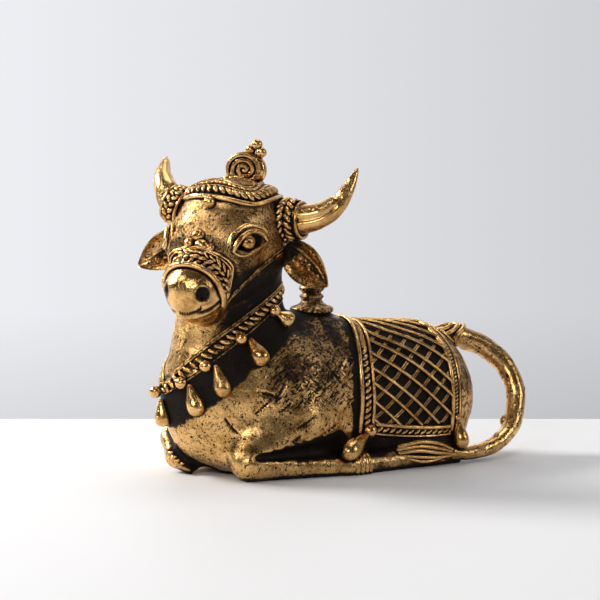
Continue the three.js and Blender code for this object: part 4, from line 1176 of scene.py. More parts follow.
def horn(form, lobes):
    """A tapering limb, a little lumpy; lobes is how deep the groove is that parts it in two."""
    (points, quads, tris), line, near, away = tapering(form["line"], form["radii"], 110, 56, (1, 0, 0.2))
    way = heading(line)[near]
    facing = unit(GROOVE_FACES - way * (way @ GROOVE_FACES)[:, None])
    turned = np.arctan2((away * np.cross(facing, way)).sum(1), (away * facing).sum(1))
    share = near / (len(line) - 1)
    groove = bell(turned, 0.17) * (1 - ease(share, LOBE_END - 0.06, LOBE_END))
    step = 0.35 * (1 - ease(share, LOBE_END, LOBE_END + 0.025)) - 0.5 * bell(share - LOBE_END - 0.03, 0.02)
    lower = bell(turned - 1.25, 1.1) * (step - 0.4 * bell(share - NOTCH_AT, 0.012))
    swell = 0.10 * noise(points, 2.2, 5) + 0.12 * noise(points, 5.5, 6)
    move = swell * (0.3 + 0.7 * ease(1 - share, 0.0, 0.12)) + lobes * (lower - 0.95 * groove)
    return from_head(points + away * move[:, None]), quads, tris


add_shape("horns", [horn(LEFT_HORN, 1.0), horn(RIGHT_HORN, 0.0)], HORN_BRASS)

# %% Braids round the roots of the horns
def cuff(start, end, start_r, end_r):
    """Leaves laid in pairs against each other and a thread at each edge; their dark core apart."""
    start, end = from_head(start), from_head(end)
    axis, wide = unit(end - start), np.linalg.norm(end - start)
    first = unit(np.cross(axis, [0, 0, 1.0]))
    a = np.linspace(0, 2 * np.pi, 84, endpoint=False)[:, None]
    way = first * np.cos(a) + np.cross(axis, first) * np.sin(a)

    def ring(share):
        return start + (end - start) * share + way * (start_r + (end_r - start_r) * share), way

    core = ((0, 0), (start_r - 1.2, 0), (start_r - 0.8, wide * 0.12), (start_r - 0.9, wide * 0.5),
            (end_r - 0.7, wide * 0.88), (end_r - 0.7, wide), (0, wide))
    size = (2.0 * wide / 7.5, 0.92, 0.9)
    shapes = [leaf_row(ring(share), 2.3, slant, size, -0.2, closed=True, uneven=7)
              for share, slant in ((0.28, -42), (0.63, 42))]
    shapes += [thread(ring(share), radius, rise, closed=True)
               for share, rise, radius in ((-0.03, -0.4, 0.55), (0.96, -0.45, 0.6))]
    return together(shapes), set_down(lathe(core, 40), start, first, axis, (1, 1, 1))


left_braid, left_core = cuff(*LEFT_HORN["cuff"])
right_braid, right_core = cuff(*RIGHT_HORN["cuff"])
add_shape("horn_braids", [left_braid, right_braid], WIRE_BRASS)
add_shape("horn_braid_cores", [left_core, right_core], DARK_BRASS)

# %% [markdown]
# ## Ears
#
# Each ear is a cupped leaf that hangs outwards under its horn. A sharp ridge parts the smooth
# upper side from a rough hollow, and the lower edge is a broad polished roll.

# %% Ears
EAR_ROOT, EAR_TIP = np.array([2.0, 17.5, -9.5]), np.array([4.5, 35.2, -20.8])
EAR_HALF, EAR_CUP = 6.3, 3.6
FORWARD = np.array([1.0, 0, 0])


def ear(side):
    """Rings along the ear: its hollow front, then its back a little behind. s runs from the upper edge."""
    across = unit(np.cross(unit(EAR_TIP - EAR_ROOT), FORWARD))
    t = np.linspace(0, 1, 66)[:, None]
    s = np.linspace(-1, 1, 57)[None]
    half = EAR_HALF * arch(0.13 + 0.855 * t) ** 0.8
    inside = arch(np.clip(t * 1.12, 0, 1)) ** 0.7
    ridge = 0.75 * bell(s + 0.30 - 0.12 * t, 0.07)
    hollow = -0.85 * bell(s - 0.02, 0.24) * (1 - ease(t, 0.66, 0.86))
    roll = 0.95 * bell(s - 0.66, 0.24) + 0.5 * bell(s + 0.95, 0.08)
    rough = 0.55 * band(s, -0.25, -0.1, 0.3, 0.45) * (1 - ease(t, 0.66, 0.8))
    depth = EAR_CUP * (s**2 - 1) * half / EAR_HALF + (ridge + hollow + roll) * inside
    front = EAR_ROOT + (EAR_TIP - EAR_ROOT) * t[..., None] + across * (half * s)[..., None]
    depth = depth + rough * noise(front, 0.9, 9) + 0.10 * noise(front, 2.2, 8)
    front = front + FORWARD * depth[..., None]
    thick = 1.3 + 0.6 * (1 - s**2) + 0.9 * bell(s - 0.8, 0.25)
    thick = thick * arch(0.1 + 0.85 * t) ** 0.5 + 0.5 * ridge
    back = front - FORWARD * thick[..., None]
    points, quads, tris = skin_rings(np.concatenate([front, back[:, ::-1]], 1))
    return own(points, side), *(f if side > 0 else f[:, ::-1] for f in (quads, tris))


def ear_crust(points):
    """Crust of the ears: black at the root."""
    q = mirrored(to_head(points))
    t = (q - EAR_ROOT) @ unit(EAR_TIP - EAR_ROOT) / np.linalg.norm(EAR_TIP - EAR_ROOT)
    return {"patina": 0.75 * (1 - ease(t, 0.05, 0.30))}


add_shape("ears", [ear(1), ear(-1)], EAR_BRASS, ear_crust)

# %% [markdown]
# ## Eyes
#
# Each eye is an almond: a ball in a sunk socket under a broad upper lid, a thin lower one,
# and a rounded brow that is parted from the lid by a dark line.

# %% Eyes
UPPER_LID = ((25.9, 12.2, -10.5), (25.4, 12.7, -8.5), (23.3, 13.4, -6.0), (20.0, 14.2, -4.5),
             (16.1, 15.0, -4.3), (13.0, 15.7, -5.6), (10.6, 16.3, -7.9))
LOWER_LID = ((25.9, 12.2, -10.5), (24.4, 13.8, -11.5), (22.0, 15.3, -11.2), (18.1, 16.1, -10.1),
             (13.5, 15.9, -9.0), (10.9, 16.3, -7.7))
BROW = ((26.6, 10.4, -8.6), (24.6, 11.3, -5.2), (21.3, 12.2, -3.0), (17.6, 13.6, -2.2), (13.3, 15.4, -3.1),
        (10.2, 16.4, -5.2))
EYE_BALL, EYE_BALL_R, EYE_BALL_SUNK = np.array([20.6, 15.1, -7.2]), 2.75, 1.75
BESIDE_HEAD, WITHIN_HEAD = 9.0, 12.0


def on_head(q, side, out_way):
    """Where the way inwards from beside a head point meets the bare head."""
    return march(head_field, own(q + out_way * BESIDE_HEAD, side), own(q - out_way * WITHIN_HEAD, side))


def laid_wire(q, side, out_way, radius, rise, count=44, flat=1.0, thin=0.35):
    """A wire through head points, laid on the head, thinner at its ends."""
    line = on_head(smooth_line(q, count), side, out_way)
    out = slope(head_field, line)
    swell = thin + (1 - thin) * arch(np.linspace(0, 1, count)) ** 0.5
    return wire(line + out * rise, radius * swell, out=out, sides=10, flat=flat)


def eye(side):
    """Two lids, the brow above them, and the ball sunk in the socket."""
    ball_skin = on_head(EYE_BALL, side, EYE_OUT)
    ball_at = ball_skin - slope(head_field, ball_skin) * EYE_BALL_SUNK
    return together([
        laid_wire(UPPER_LID, side, EYE_OUT, 1.0, 0.2), laid_wire(LOWER_LID, side, EYE_OUT, 0.8, 0.05),
        laid_wire(BROW, side, EYE_OUT, 1.15, -0.35, flat=0.8), balls(ball_at, EYE_BALL_R, FINE_BALL)])


add_shape("eyes", [eye(1), eye(-1)], BEAD_BRASS)

# %% [markdown]
# ## Crown
#
# On the head stands a disc like a coil of one broad thread, with three balls on its rim. It
# stands on a cap whose edge carries slanting grains over a smooth polished wire, and a ball
# is set on the wire over the forehead.

# %% Wound disc
DISC_AT = np.array([-1.2, 0.7, 14.1])
DISC_HALF = 6.2 * np.array([1.08, 0.88])
DISC_THICK = 3.4
COIL_PITCH, COIL_TURNS, COIL_START = 0.32, 2.52, 0.97
GAP_HALF, GAP_DEPTH, BAND_ROUND = 0.068, 0.8, 0.16


def coil_gap(share, turn):
    """Place in the coil: 1 in the dark groove between two turns, and the roundness of the thread beside it.
    The groove's radius is the pitch times the turns gone, as a share of the disc's radius."""
    gap, off = np.zeros(share.shape), np.ones(share.shape)
    for whole in range(3):
        gone = (turn / (2 * np.pi) + COIL_START) % 1 + whole
        apart = np.abs(share - COIL_PITCH * gone)
        on = gone <= COIL_TURNS
        gap = np.where(on, np.maximum(gap, 1 - ease(apart, 0.5 * GAP_HALF, GAP_HALF)), gap)
        off = np.where(on, np.minimum(off, apart / COIL_PITCH * 2), off)
    return gap, np.clip(off, 0, 1)


def disc():
    """An oval body turned once round: a coiled face, a round rim and the same face on the back."""
    share = np.linspace(0.004, 0.97, 84)[:, None]
    turn = np.linspace(0, 2 * np.pi, 180, endpoint=False)[None]
    bulge = np.radians(np.linspace(-80, 80, 11))[:, None]

    def rings(ahead, radius):
        return np.stack([ahead + 0 * turn, radius * np.cos(turn), radius * np.sin(turn)], -1)

    gap, off = coil_gap(share, turn)
    lift = DISC_THICK / 2 + BAND_ROUND * np.sqrt(1 - (1 - off) ** 2) - GAP_DEPTH * gap
    rim = rings(-np.sin(bulge) * DISC_THICK / 2, 0.97 + 0.13 * np.cos(bulge))
    body = np.concatenate([rings(lift, share), rim, rings(-lift, share)[::-1]])
    points, quads, tris = skin_rings(body * (1, *DISC_HALF))
    return from_head(DISC_AT + points), quads, tris


def disc_crust(points):
    """Crust of the disc: black in the coil's groove, the rest polished."""
    q = to_head(points) - DISC_AT
    sides = q[:, 1:] / DISC_HALF
    gap, off = coil_gap(np.linalg.norm(sides, axis=-1), np.arctan2(sides[:, 1], sides[:, 0]))
    return {"patina": 1.3 * gap * ease(np.abs(q[:, 0]), 0.5, 0.9), "hide": np.full(len(q), -0.6)}


add_shape("crown_disc", disc(), BEAD_BRASS, disc_crust)

# Of each ball: to the left of the disc's middle, above it, and its radius
DISC_BEADS = np.array(((1.35, 6.5, 1.7), (5.3, 5.9, 1.75), (3.6, 8.4, 1.8)))
disc_bead_at = from_head(DISC_AT + DISC_BEADS[:, :2] @ np.eye(3)[1:])
add_shape("crown_beads", balls(disc_bead_at, DISC_BEADS[:, 2], FINE_BALL), BEAD_BRASS)

# %% Edge of the cap
CAP_MIDDLE = np.array([5.0, -0.3, 0.0])
CAP_WIRE, CAP_DIP, CAP_DIP_AT, CAP_DIP_WIDE = 5.9, 1.7, 52.0, 26.0
cap_turn = np.linspace(0, 2 * np.pi, 220, endpoint=False)
cap_way = np.stack([np.cos(cap_turn), np.sin(cap_turn), 0 * cap_turn], -1)
cap_degrees = np.abs((np.degrees(cap_turn) + 180) % 360 - 180)
cap_dip = CAP_DIP * bell(cap_degrees - CAP_DIP_AT, CAP_DIP_WIDE)


def cap_line(above):
    """A line round the head so far above the cap's wire, which dips over the eyes; and its ways outward."""
    middle = CAP_MIDDLE + np.stack([0 * cap_turn, 0 * cap_turn, CAP_WIRE - cap_dip + above], -1)
    line = march(head_field, from_head(middle + cap_way * 30), from_head(middle))
    return line, slope(head_field, line)


add_shape("cap_wire", thread(cap_line(0.0), 0.78, 0.45, closed=True, sides=10), BEAD_BRASS)
cap_slant = -66 + 30 * bell(np.degrees(cap_turn) - 30, 34)
cap_leaves = [leaf_row(cap_line(above), pitch, slant, size, 0.30, closed=True, uneven=8)
              for above, pitch, slant, size in
              ((2.2, 2.35, cap_slant, (2.0, 0.86, 0.9)), (4.1, 1.7, -24, (1.15, 0.46, 0.55)))]
cap_threads = [thread(cap_line(above), radius, 0.1, closed=True)
               for above, radius in ((3.45, 0.34), (4.9, 0.3))]
add_shape("cap_leaves", cap_leaves + cap_threads, WIRE_BRASS)

# %% Ball on the forehead and what lies at the disc's foot
FOREHEAD_BEAD = np.array([0.0, 0.9, 4.3])
forehead_skin = march(head_field, from_head(FOREHEAD_BEAD + (30, 0, 0)), from_head(FOREHEAD_BEAD))
add_shape("forehead_bead", balls(forehead_skin + HEAD_AXES[0] * 1.3, 1.85, FINE_BALL), BEAD_BRASS)
FOOT_BALLS = ((5.4, -2.8, 10.9), (5.0, -1.2, 11.0))
FOOT_LEAVES = np.array([(3.6, 0.2, 11.4), (2.7, 3.8, 10.9)])
LEAVES_BEHIND = FOOT_LEAVES * (1, -1, 1) - (8.5, 0, 0)
BIG_LEAF, SLIM_LEAF = (2.6, 0.8, 0.8), (2.4, 0.55, 0.6)
foot_way = np.array([(0.1, 1, -0.15), (-0.35, 1, -0.35)]) @ HEAD_AXES
crown_foot = [balls(from_head(FOOT_BALLS), (1.25, 1.1))]
for at, way, size in ((FOOT_LEAVES, foot_way, (BIG_LEAF, SLIM_LEAF)), (LEAVES_BEHIND, -foot_way, BIG_LEAF)):
    crown_foot.append(set_down(LEAF, from_head(at), way, HEAD_AXES[2], size))
add_shape("crown_foot", crown_foot, WIRE_BRASS)

# %% [markdown]
# ## Bridle
#
# A band of leaves lies round the muzzle between a thick and a thin thread, laid down freely
# rather than in neat rows, with a group of flattened balls above it. From its ends two
# threads run back over the cheek to the ear.

# %% Nose band
NOSE_LEAN = unit(np.array([0.78, 0.0, -0.62]))
NOSE_UP = np.array([0.62, 0.0, 0.78])
NOSE_START, NOSE_END = np.array([11.0, 0, -6.0]), np.array([27.0, 0, -23.0])
NOSE_REACH = 116


def nose_line(share, low=-NOSE_REACH, high=NOSE_REACH):
    """A line across the face from the left side to the right, and its ways outward. Share is its place in
    the band, 0 at the edge towards the eyes and 1 at the muzzle."""
    degrees = np.linspace(high, low, 90)
    back = 28.7 + 6.3 * ease(np.abs(degrees), 70, 115)
    front = 35.9 + 1.3 * ease(np.abs(degrees), 40, 90)
    at, turned = back + (front - back) * share, np.radians(degrees)
    near, far = NOSE_START @ NOSE_LEAN, NOSE_END @ NOSE_LEAN
    middle = NOSE_START + (NOSE_END - NOSE_START) * ((at - near) / (far - near))[:, None]
    way = NOSE_UP * np.cos(turned)[:, None] + np.array([0, 1.0, 0]) * np.sin(turned)[:, None]
    line = march(head_field, from_head(middle + way * 30), from_head(middle))
    return line, slope(head_field, line)


nose_wires = [thread(nose_line(share), radius, rise, sides=10)
              for share, radius, rise in ((1.0, 0.98, 0.75), (0.0, 0.40, 0.45), (0.08, 0.32, 0.35))]
add_shape("nose_wires", nose_wires, BEAD_BRASS)
# Of each row: share of the band, first and last degree round the muzzle, pitch, slant, size, rise
NOSE_ROWS = (
    (0.24, -35, 110, 2.3, -22, (2.0, 0.60, 0.85), 0.6), (0.50, -45, 108, 2.6, 28, (1.8, 0.82, 1.0), 0.7),
    (0.77, -40, 106, 2.2, 60, (1.5, 0.72, 0.95), 0.6), (0.34, -114, -40, 1.7, 84, (1.7, 0.42, 0.6), 0.3),
    (0.74, -112, -44, 1.9, 70, (1.1, 0.5, 0.6), 0.3))
nose_leaves = [leaf_row(nose_line(*row[:3]), *row[3:], uneven=20) for row in NOSE_ROWS]
add_shape("nose_leaves", nose_leaves, WIRE_BRASS)

# %% Balls above the band
NOSE_BALLS = np.array(((26.4, -0.5, -6.4, 2.2), (27.5, -3.0, -9.0, 1.9), (27.9, 1.6, -9.3, 2.2),
                       (27.6, 4.6, -9.8, 1.5), (28.2, -5.6, -11.4, 1.2)))
nose_q, nose_size = NOSE_BALLS[:, :3], NOSE_BALLS[:, 3:] * (1, 0.92, 0.72)
nose_skin = march(head_field, from_head(nose_q + NOSE_UP * 30), from_head(nose_q - NOSE_UP * 20))
nose_out = slope(head_field, nose_skin)
nose_beads = set_down(FINE_BALL, nose_skin + nose_out * 0.35, HEAD_AXES[1], nose_out, nose_size)
add_shape("nose_beads", nose_beads, BEAD_BRASS)

# %% Cheek straps
CHEEK_STRAP = np.array((
    (21.9, 7.7, -28.9), (21.9, 10.3, -25.0), (19.7, 11.9, -22.2), (17.2, 13.3, -19.9), (14.2, 15.0, -16.9),
    (10.5, 16.3, -14.4), (7.5, 17.6, -12.4), (3.5, 18.0, -10.5)))
SIDE_WAY = unit(np.array([0.15, 1.0, -0.2]))
straps = [laid_wire(CHEEK_STRAP + (0, 0, above), side, SIDE_WAY, radius, 0.15, count=60, thin=0.8)
          for side in (1, -1) for above, radius in ((0.5, 0.42), (-0.6, 0.36))]
add_shape("cheek_straps", straps, ROUGH_BRASS)

# %% Teardrop loop at the right eye: a thread bent into a long loop whose point hangs down
LOOP_AT, LOOP_OUT = np.array([24.2, 12.0, -7.6]), np.array([0.6, 0.8, 0.0])
LOOP_UP, LOOP_ACROSS = np.array([-0.28, 0.06, 0.95]), np.array([-0.75, 0.62, 0.0])
t = np.linspace(0, 2 * np.pi, 40, endpoint=False)[:, None]
loop_q = LOOP_AT + LOOP_UP * (4.1 * np.cos(t)) + LOOP_ACROSS * (2.1 * np.sin(t) * (1 + 0.3 * np.cos(t)))
loop_line = own(loop_q, -1)
loop_out = own(loop_q + LOOP_OUT, -1) - loop_line
add_shape("temple_loop", wire(loop_line, 0.62, out=loop_out, closed=True), WIRE_BRASS)

# %% Short cuts over the mouth
LIP_MARKS = np.linspace(-1.4, 5.6, 9)
LIP_WAY = np.array([0.9, 0, -0.42])
lip_q = np.stack([0 * LIP_MARKS + 33, LIP_MARKS, 0.05 * LIP_MARKS**2 - 30.3], -1)
lip_at = on_head(lip_q, 1, LIP_WAY) + 0.35 * unit(LIP_WAY) @ HEAD_AXES
lip_way = HEAD_AXES[2] + 0.25 * HEAD_AXES[1]
lip_cuts = set_down(LEAF, lip_at, lip_way, slope(head_field, lip_at), (0.85, 0.26, 0.3))
add_shape("lip_marks", lip_cuts, DARK_BRASS)

# %% [markdown]
# ## Collar
#
# The collar goes once round the neck, high behind the head and low on the chest: a double
# thread above, a fine one below, and between them a row of slanting leaves on a black
# ground. Below it, balls are set at eight places and a heavy drop hangs aslant from each.

# %% Collar line
def collar_line(degrees, down=0.0):
    """Points of the collar at these turns round the neck, so far below its middle. The height follows the
    place, so it is found in six rounds."""
    degrees = np.atleast_1d(np.asarray(degrees, float))
    down = np.broadcast_to(np.asarray(down, float), degrees.shape)
    way = np.stack([-np.cos(np.radians(degrees)), -np.sin(np.radians(degrees)), 0 * degrees], -1)
    p = np.stack([COLLAR_AXIS_X + way[:, 0] * 18, way[:, 1] * 18, 0 * degrees], -1)
    for _ in range(6):
        z = below_collar(p * (1, 1, 0)) - down
        middle = np.stack([np.full_like(z, COLLAR_AXIS_X), 0 * z, z], -1)
        p = march(bare_bull, middle + way * 40, middle, 60)
    return p


collar_turn = np.linspace(-180, 180, 260, endpoint=False)
from_front = np.abs(collar_turn)
UPPER_THREAD = np.interp(from_front, (0, 12, 25, 45, 70, 95, 125, 180),
                         (-2.2, -4.4, -5.6, -6.1, -5.7, -5.4, -5.0, -4.2))
LEAVES_DOWN = -2.7 + 2.0 * bell(from_front, 12)


def collar_ring(down):
    """The whole line round the neck so far below the collar's middle, and its ways outward."""
    line = at_steps(collar_line(collar_turn, down), 0.8, 0, closed=True)
    return line, slope(bare_bull, line)


collar_wires = [thread(collar_ring(down), radius, rise, closed=True) for down, radius, rise
                in ((UPPER_THREAD - 0.42, 0.36, 0.15), (UPPER_THREAD + 0.42, 0.38, 0.25), (0.4, 0.26, 0.15))]
add_shape("collar_wires", collar_wires, ROUGH_BRASS)
leaf_ring = collar_ring(LEAVES_DOWN)
leaf_x, leaf_y = leaf_ring[0][:, 0], leaf_ring[0][:, 1]
off_front = np.abs(np.degrees(np.arctan2(-leaf_y, COLLAR_AXIS_X - leaf_x)))
leaf_slant = np.where(leaf_y < 0, 1.0, -1.0) * (-50 - 30 * bell(off_front, 32))
collar_leaves = leaf_row(leaf_ring, 2.5, leaf_slant, (2.05, 0.86, 0.85), 0.35, closed=True, uneven=9)
add_shape("collar_leaves", collar_leaves, WIRE_BRASS)

# %% Balls and drops of the collar
# Degrees of each ball, how far it stands out, and the degrees of its drop's top and foot
COLLAR_DROPS = np.array((
    (-3, 2.6, -3, -4), (20, 0.9, 27, 36), (40, 0.9, 50, 60), (80, 0.9, 90, 99), (129, 0.9, 133, 143),
    (-44, 0.9, -52, -61), (-84, 0.9, -94, -103), (-129, 0.9, -133, -143)))
# How far below the collar's middle a drop's top and foot lie; the first drop hangs a little otherwise
DROP_RADIUS = 2.95
DROP_TOP, DROP_FOOT = np.full(8, 2.0), np.full(8, 13.9)
DROP_TOP[0], DROP_FOOT[0] = 2.6, 12.6
bead_skin = collar_line(COLLAR_DROPS[:, 0], 0.2)
bead_at = bead_skin + slope(bare_bull, bead_skin) * COLLAR_DROPS[:, 1:2]
add_shape("collar_beads", balls(bead_at, 2.05, FINE_BALL), BEAD_BRASS)
drop_top, drop_foot = collar_line(COLLAR_DROPS[:, 2], DROP_TOP), collar_line(COLLAR_DROPS[:, 3], DROP_FOOT)
drop_top = drop_top + slope(bare_bull, drop_top) * 0.8
drop_foot = drop_foot + slope(bare_bull, drop_foot) * 1.4
add_shape("collar_drops", [drop_between(a, b, DROP_RADIUS) for a, b in zip(drop_top, drop_foot)], BEAD_BRASS)

# %% [markdown]
# ## Saddle cloth
#
# The cloth is not a sheet but a net of threads on the bare back. Thick threads slant one
# way, double thin rods pass under them the other way, and a row of leaves between two
# wires makes the front edge, ropes the rear edge and the hem.

# %% Front edge
def on_trunk(x, degrees):
    """The trunk's skin at this x, so many degrees round its middle line from the top to the left, and its
    way outward."""
    x, degrees = np.broadcast_arrays(np.asarray(x, float), np.asarray(degrees, float))
    way = np.stack([0 * x, -np.sin(np.radians(degrees)), np.cos(np.radians(degrees))], -1)
    middle = np.stack([x, 0 * x, 0 * x + CLOTH_AXIS_Z], -1)
    line = march(trunk, middle + way * 40, middle, 60)
    return line, slope(trunk, line)


HEM_END = HEM_TURN + 4
side_turn = np.linspace(-HEM_END, HEM_END, 150)
front_wires = [thread(on_trunk(cloth_front(side_turn) + into, side_turn), radius, rise)
               for into, radius, rise in ((0.5, 0.78, 0.55), (4.9, 0.62, 0.5))]
add_shape("cloth_front_wires", front_wires, WIRE_BRASS)
EDGE_LEAF, TOP_LEAF = (1.75, 0.78, 0.8), (1.3, 0.42, 0.5)
front_leaves = []
for start, end, pitch, slant, size, uneven in (
        (46, HEM_END, 2.15, -48, EDGE_LEAF, 8), (-46, -HEM_END, 2.15, 48, EDGE_LEAF, 8),
        (-46, 46, 0.9, 80, TOP_LEAF, 30)):
    band_turn = np.linspace(start, end, 90)
    laid = on_trunk(cloth_front(band_turn) + 2.75, band_turn)
    front_leaves.append(leaf_row(laid, pitch, slant, size, 0.35, uneven=uneven))
add_shape("cloth_front_leaves", front_leaves, WIRE_BRASS)

# %% Rear edge and hem
edges = [thread(on_trunk(CLOTH_REAR_X - into, side_turn), radius, 0.5)
         for into, radius in ((3.6, 0.75), (0.3, 0.4))]
rear = on_trunk(CLOTH_REAR_X - 1.9, side_turn)
edges.append(leaf_row(rear, 1.3, np.where(rear[0][:, 1] < 0, -62.0, 62.0), (1.15, 0.5, 0.6), 0.3))
hem_x = np.linspace(CLOTH_FRONT_X + CLOTH_BAND + 0.8, CLOTH_REAR_X - 0.6, 90)
hem_share = (hem_x - hem_x[0]) / (hem_x[-1] - hem_x[0])
for side in (1, -1):
    for start, end, radius in ((113.4, 118.2, 0.72), (120.8, 123.2, 0.42)):
        edges.append(thread(on_trunk(hem_x, side * (start + (end - start) * hem_share)), radius, 0.5))
    hem = on_trunk(hem_x, side * (117.3 + 3.4 * hem_share))
    edges.append(leaf_row(hem, 2.4, side * 38, (1.6, 0.66, 0.75), 0.35, uneven=8))
add_shape("cloth_edges", edges, WIRE_BRASS)

# %% Net of threads
NET_FRONT, NET_REAR = CLOTH_FRONT_X + CLOTH_BAND, CLOTH_REAR_X - CLOTH_REAR_BAND
NET_TURN = 113.5


def net_threads(turns, per_mm, radius, rise, beside=(0.0,)):
    """Threads that reach these turns at x = 17 and change their turn by per_mm for each millimetre of x,
    cut off at the net's edges; with beside, several next to each other. Very short ones are left out."""
    threads = []
    for start_turn, offset in itertools.product(turns, beside):
        x = np.linspace(NET_FRONT - 0.4, NET_REAR + 0.3, 130) + offset
        turned = start_turn + per_mm * (x - offset - 17)
        keep = (np.abs(turned) < NET_TURN) & (x > cloth_front(turned) + CLOTH_BAND - 0.5)
        if keep.sum() >= 6:
            threads.append(thread(on_trunk(x[keep], turned[keep]), radius, rise))
    return threads


THICK_TURNS = (96, 80, 66, 50, 34, 22, 5, -9, -24, -39, -54, -69, -84, -99, -114, -129, -144, -159, 111, 126)
THIN_TURNS = range(-117, 236, 16)
add_shape("net_thick_threads", net_threads(THICK_TURNS, 2.05, 0.55, 0.8), WIRE_BRASS)
add_shape("net_thin_threads", net_threads(THIN_TURNS, -2.3, 0.25, 0.15, (-0.5, 0.5)), WIRE_BRASS)

# %% Balls and drops at the corners of the cloth
corners = []
for side in (1, -1):
    skin, out = on_trunk([CLOTH_FRONT_X + 3.6, CLOTH_REAR_X - 1.5], [side * 118.5, side * 112.0])
    front, rear = skin + out * [[1.4], [0.6]]
    corners += [balls(front, 2.3, FINE_BALL),
                drop_between(front + (-1.2, -0.4 * side, -0.8), (0.3, -29.3 * side, 7.4), 3.15),
                drop_between(rear, rear + (0.4, -3.2 * side, -10.2), 2.6), balls(rear, 1.3)]
add_shape("cloth_drops", corners, BEAD_BRASS)

# %% [markdown]
# ## Knob, anklet and tail
#
# On the hump stands a ringed knob with a flared foot, turned from wax like a spindle.
# Four rings bind the feet where they meet on the left. The tail rises from a nest of
# arcs on the rump, swings round behind and comes forward along the ground to a tuft of
# thick strands, so it makes a handle that can be looked through.

# %% Knob
KNOB_X = 4.5
KNOB_PROFILE = ((0, -1.6), (6.2, -1.5), (7.2, -0.8), (7.4, 0.1), (6.9, 0.8), (5.4, 1.3), (4.1, 2.0),
                (3.4, 3.0), (3.6, 3.6), (4.15, 4.1), (3.95, 4.7), (3.2, 5.1), (3.2, 5.7), (3.9, 6.2),
                (4.35, 6.9), (4.15, 7.6), (3.3, 8.0), (3.1, 8.6), (3.5, 9.3), (3.25, 10.1), (2.4, 10.8),
                (1.2, 11.1), (0, 11.15))
knob = set_down(lathe(KNOB_PROFILE, 40), on_trunk([KNOB_X], [0.0])[0], (1, 0, 0), (0, 0, 1), (1, 1, 1))
add_shape("knob", knob, ROUGH_BRASS, lambda points: {"patina": 0.16 + 0.10 * noise(points, 2.5, 40)})

# %% Anklet
ANKLET_X, ANKLET_PITCH, ANKLET_RADIUS = 5.2, 1.8, 3.45
bar_foot = np.array(LEG_BAR["foot"])
bar_way = unit(LEG_BAR["hock"] - bar_foot)
ring_turn = np.linspace(0, 2 * np.pi, 36, endpoint=False)[:, None]
ring_side = unit(np.cross(bar_way, [0, 0, 1.0]))
ring_out = ring_side * np.cos(ring_turn) + np.cross(ring_side, bar_way) * np.sin(ring_turn)
anklet = []
for n, thickness in enumerate((1.0, 1.15, 1.1, 0.9)):
    middle = bar_foot + bar_way * (ANKLET_X + ANKLET_PITCH * n - bar_foot[0])
    anklet.append(wire(middle + ring_out * ANKLET_RADIUS, thickness, out=ring_out, closed=True))
add_shape("anklet", anklet, WIRE_BRASS)

# %% Tail
TAIL_LINE = ((53, 0, 39.8), (62.4, 0, 41), (68, -1, 39.3), (73, -3, 36.8), (78.1, -7, 31.2), (79.9, -11, 24),
             (78.8, -13.5, 17.8), (75.6, -16, 11.2), (69.8, -18.5, 6.9), (61.6, -20.5, 4.2), (52, -22.6, 3.7),
             (46, -23.4, 4.4))
TAIL_RADII = (4.2, 3.9, 3.7, 3.55, 3.5, 3.45, 3.3, 3.1, 2.8, 2.5, 2.3, 2.1)
# Lumps of spilt metal on it: the place and the half sizes of each
TAIL_BURRS = (((73.6, -14.0, 12.6), (2.2, 1.3, 1.6)), ((77.4, -17.2, 14.6), (2.0, 1.2, 1.2)),
              ((66.5, -19.6, 8.2), (1.5, 0.9, 1.2)), ((81.6, -13.6, 22.0), (2.0, 0.8, 1.0)))


def tail():
    """A tapering limb whose skin is left lumpy, as wax rolled by hand."""
    (points, quads, tris), line, near, away = tapering(TAIL_LINE, TAIL_RADII, 150, 28, (0, 1, 0))
    lumps = 0.17 * noise(points, 6.0, 11) + 0.10 * noise(points, 2.6, 12) + 0.05 * noise(points, 1.3, 13)
    return points + away * lumps[:, None], quads, tris


burrs = [set_down(SMALL_BALL, at, (0.5, 0, 1), (0, -1, 0), size) for at, size in TAIL_BURRS]
add_shape("tail", [tail(), *burrs], TAIL_BRASS)

# %% Arcs at the root of the tail
tail_line = smooth_line(TAIL_LINE[:6], 60)
tail_radii = np.interp(np.linspace(0, 1, 60), np.linspace(0, 1, 6), TAIL_RADII[:6])


def rear_field(p):
    """Trunk and the first part of the tail together."""
    near = np.linalg.norm(p[..., None, :] - tail_line, axis=-1) - tail_radii
    return np.minimum(trunk(p), near.min(-1))


# Arcs open towards the cloth, one inside the other: the x of each bend and how far its ends lie to the sides
arcs = []
for bend, wide in ((65.4, 4.2), (62.9, 3.6), (60.4, 2.4)):
    t = np.linspace(-1, 1, 50)
    x = bend - 10.0 * np.abs(t) ** 2.6 * wide / 4.2 - 1.2 * np.abs(t)
    above = np.stack([x, wide * np.sin(t * np.pi / 2), np.full(50, 60.0)], -1)
    line = march(rear_field, above, above * (1, 1, 0) + (0, 0, 30.0))
    arcs.append(thread((line, slope(rear_field, line)), 0.85, 0.35, sides=10))
add_shape("tail_root", arcs, WIRE_BRASS)

# %% Tuft
TUFT_START, TUFT_END = np.array([46.0, -23.6, 4.4]), np.array([23.0, -24.4, 7.6])
TUFT_OUT = unit(np.array([0.1, -1.0, 0.25]))
TUFT_UP = np.cross(TUFT_OUT, unit(TUFT_END - TUFT_START))
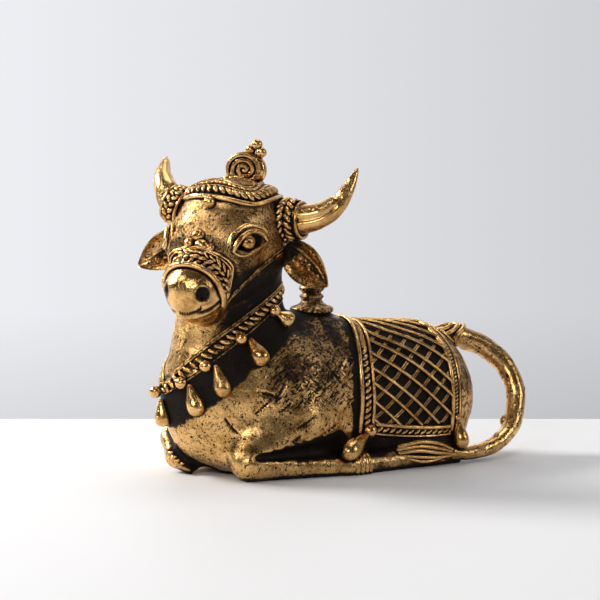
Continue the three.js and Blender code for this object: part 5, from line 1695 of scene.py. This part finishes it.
# Each strand: shares of the way to the tip and how far up it lies there, then its thickness
TUFT_STRANDS = (
    (((0.02, -0.9), (0.30, -2.4), (0.62, -2.5), (0.98, -0.6)), 0.80),
    (((0.04, -0.3), (0.32, -0.8), (0.64, -1.0), (1.00, 0.5)), 0.78),
    (((0.05, 0.4), (0.34, 0.7), (0.66, 0.5), (0.97, 1.6)), 0.74),
    (((0.03, 1.0), (0.34, 2.3), (0.62, 2.6), (0.90, 2.5)), 0.62),
    (((0.10, 0.9), (0.38, 3.2), (0.60, 4.0), (0.84, 3.3)), 0.50),
)


def tuft_line(share, up):
    """Points of the tuft at shares of the way to its tip, so far up."""
    return TUFT_START + (TUFT_END - TUFT_START) * share[:, None] + TUFT_UP * up[:, None]


tuft_strands = []
for marks, thickness in TUFT_STRANDS:
    marks = smooth_line([(s, u, 0) for s, u in marks], 50)
    bulge = 0.8 + 0.9 * arch(np.linspace(0, 1, 50))
    taper = thickness * (0.75 + 0.25 * arch(np.linspace(0.05, 0.95, 50)))
    laid = tuft_line(marks[:, 0], marks[:, 1]) + TUFT_OUT * bulge[:, None]
    tuft_strands.append(wire(laid, taper, out=TUFT_OUT))
add_shape("tail_tuft", tuft_strands, WIRE_BRASS)
share = np.linspace(0.02, 0.94, 30)
core_radius = 2.9 * arch(0.05 + 0.9 * share) ** 0.5
tuft_core = wire(tuft_line(share, 0.6 * arch(share)), core_radius, out=TUFT_OUT, sides=14, flat=0.42)
add_shape("tail_tuft_core", tuft_core, DARK_BRASS)

# %% [markdown]
# ## Right foreleg
#
# The right foreleg shows only its knee and the shank turned back under the chest. A short
# row of leaves follows the fold.

# %% Leaves on the right foreleg
FOLD = ((-45.5, 8.4, 9.0), (-45.4, 5.6, 7.1), (-44.6, 4.3, 5.5), (-43.9, 3.0, 4.6), (-43.1, 1.5, 3.8))
fold_line = smooth_line(FOLD, 40)
fold_line = march(legs, fold_line + (-6.0, 0, 2.0), fold_line + (8.0, 0, -3.0))
foreleg_leaves = leaf_row((fold_line, slope(legs, fold_line)), 1.9, 55, (1.3, 0.6, 0.65), 0.2)
add_shape("foreleg_leaves", foreleg_leaves, WIRE_BRASS)
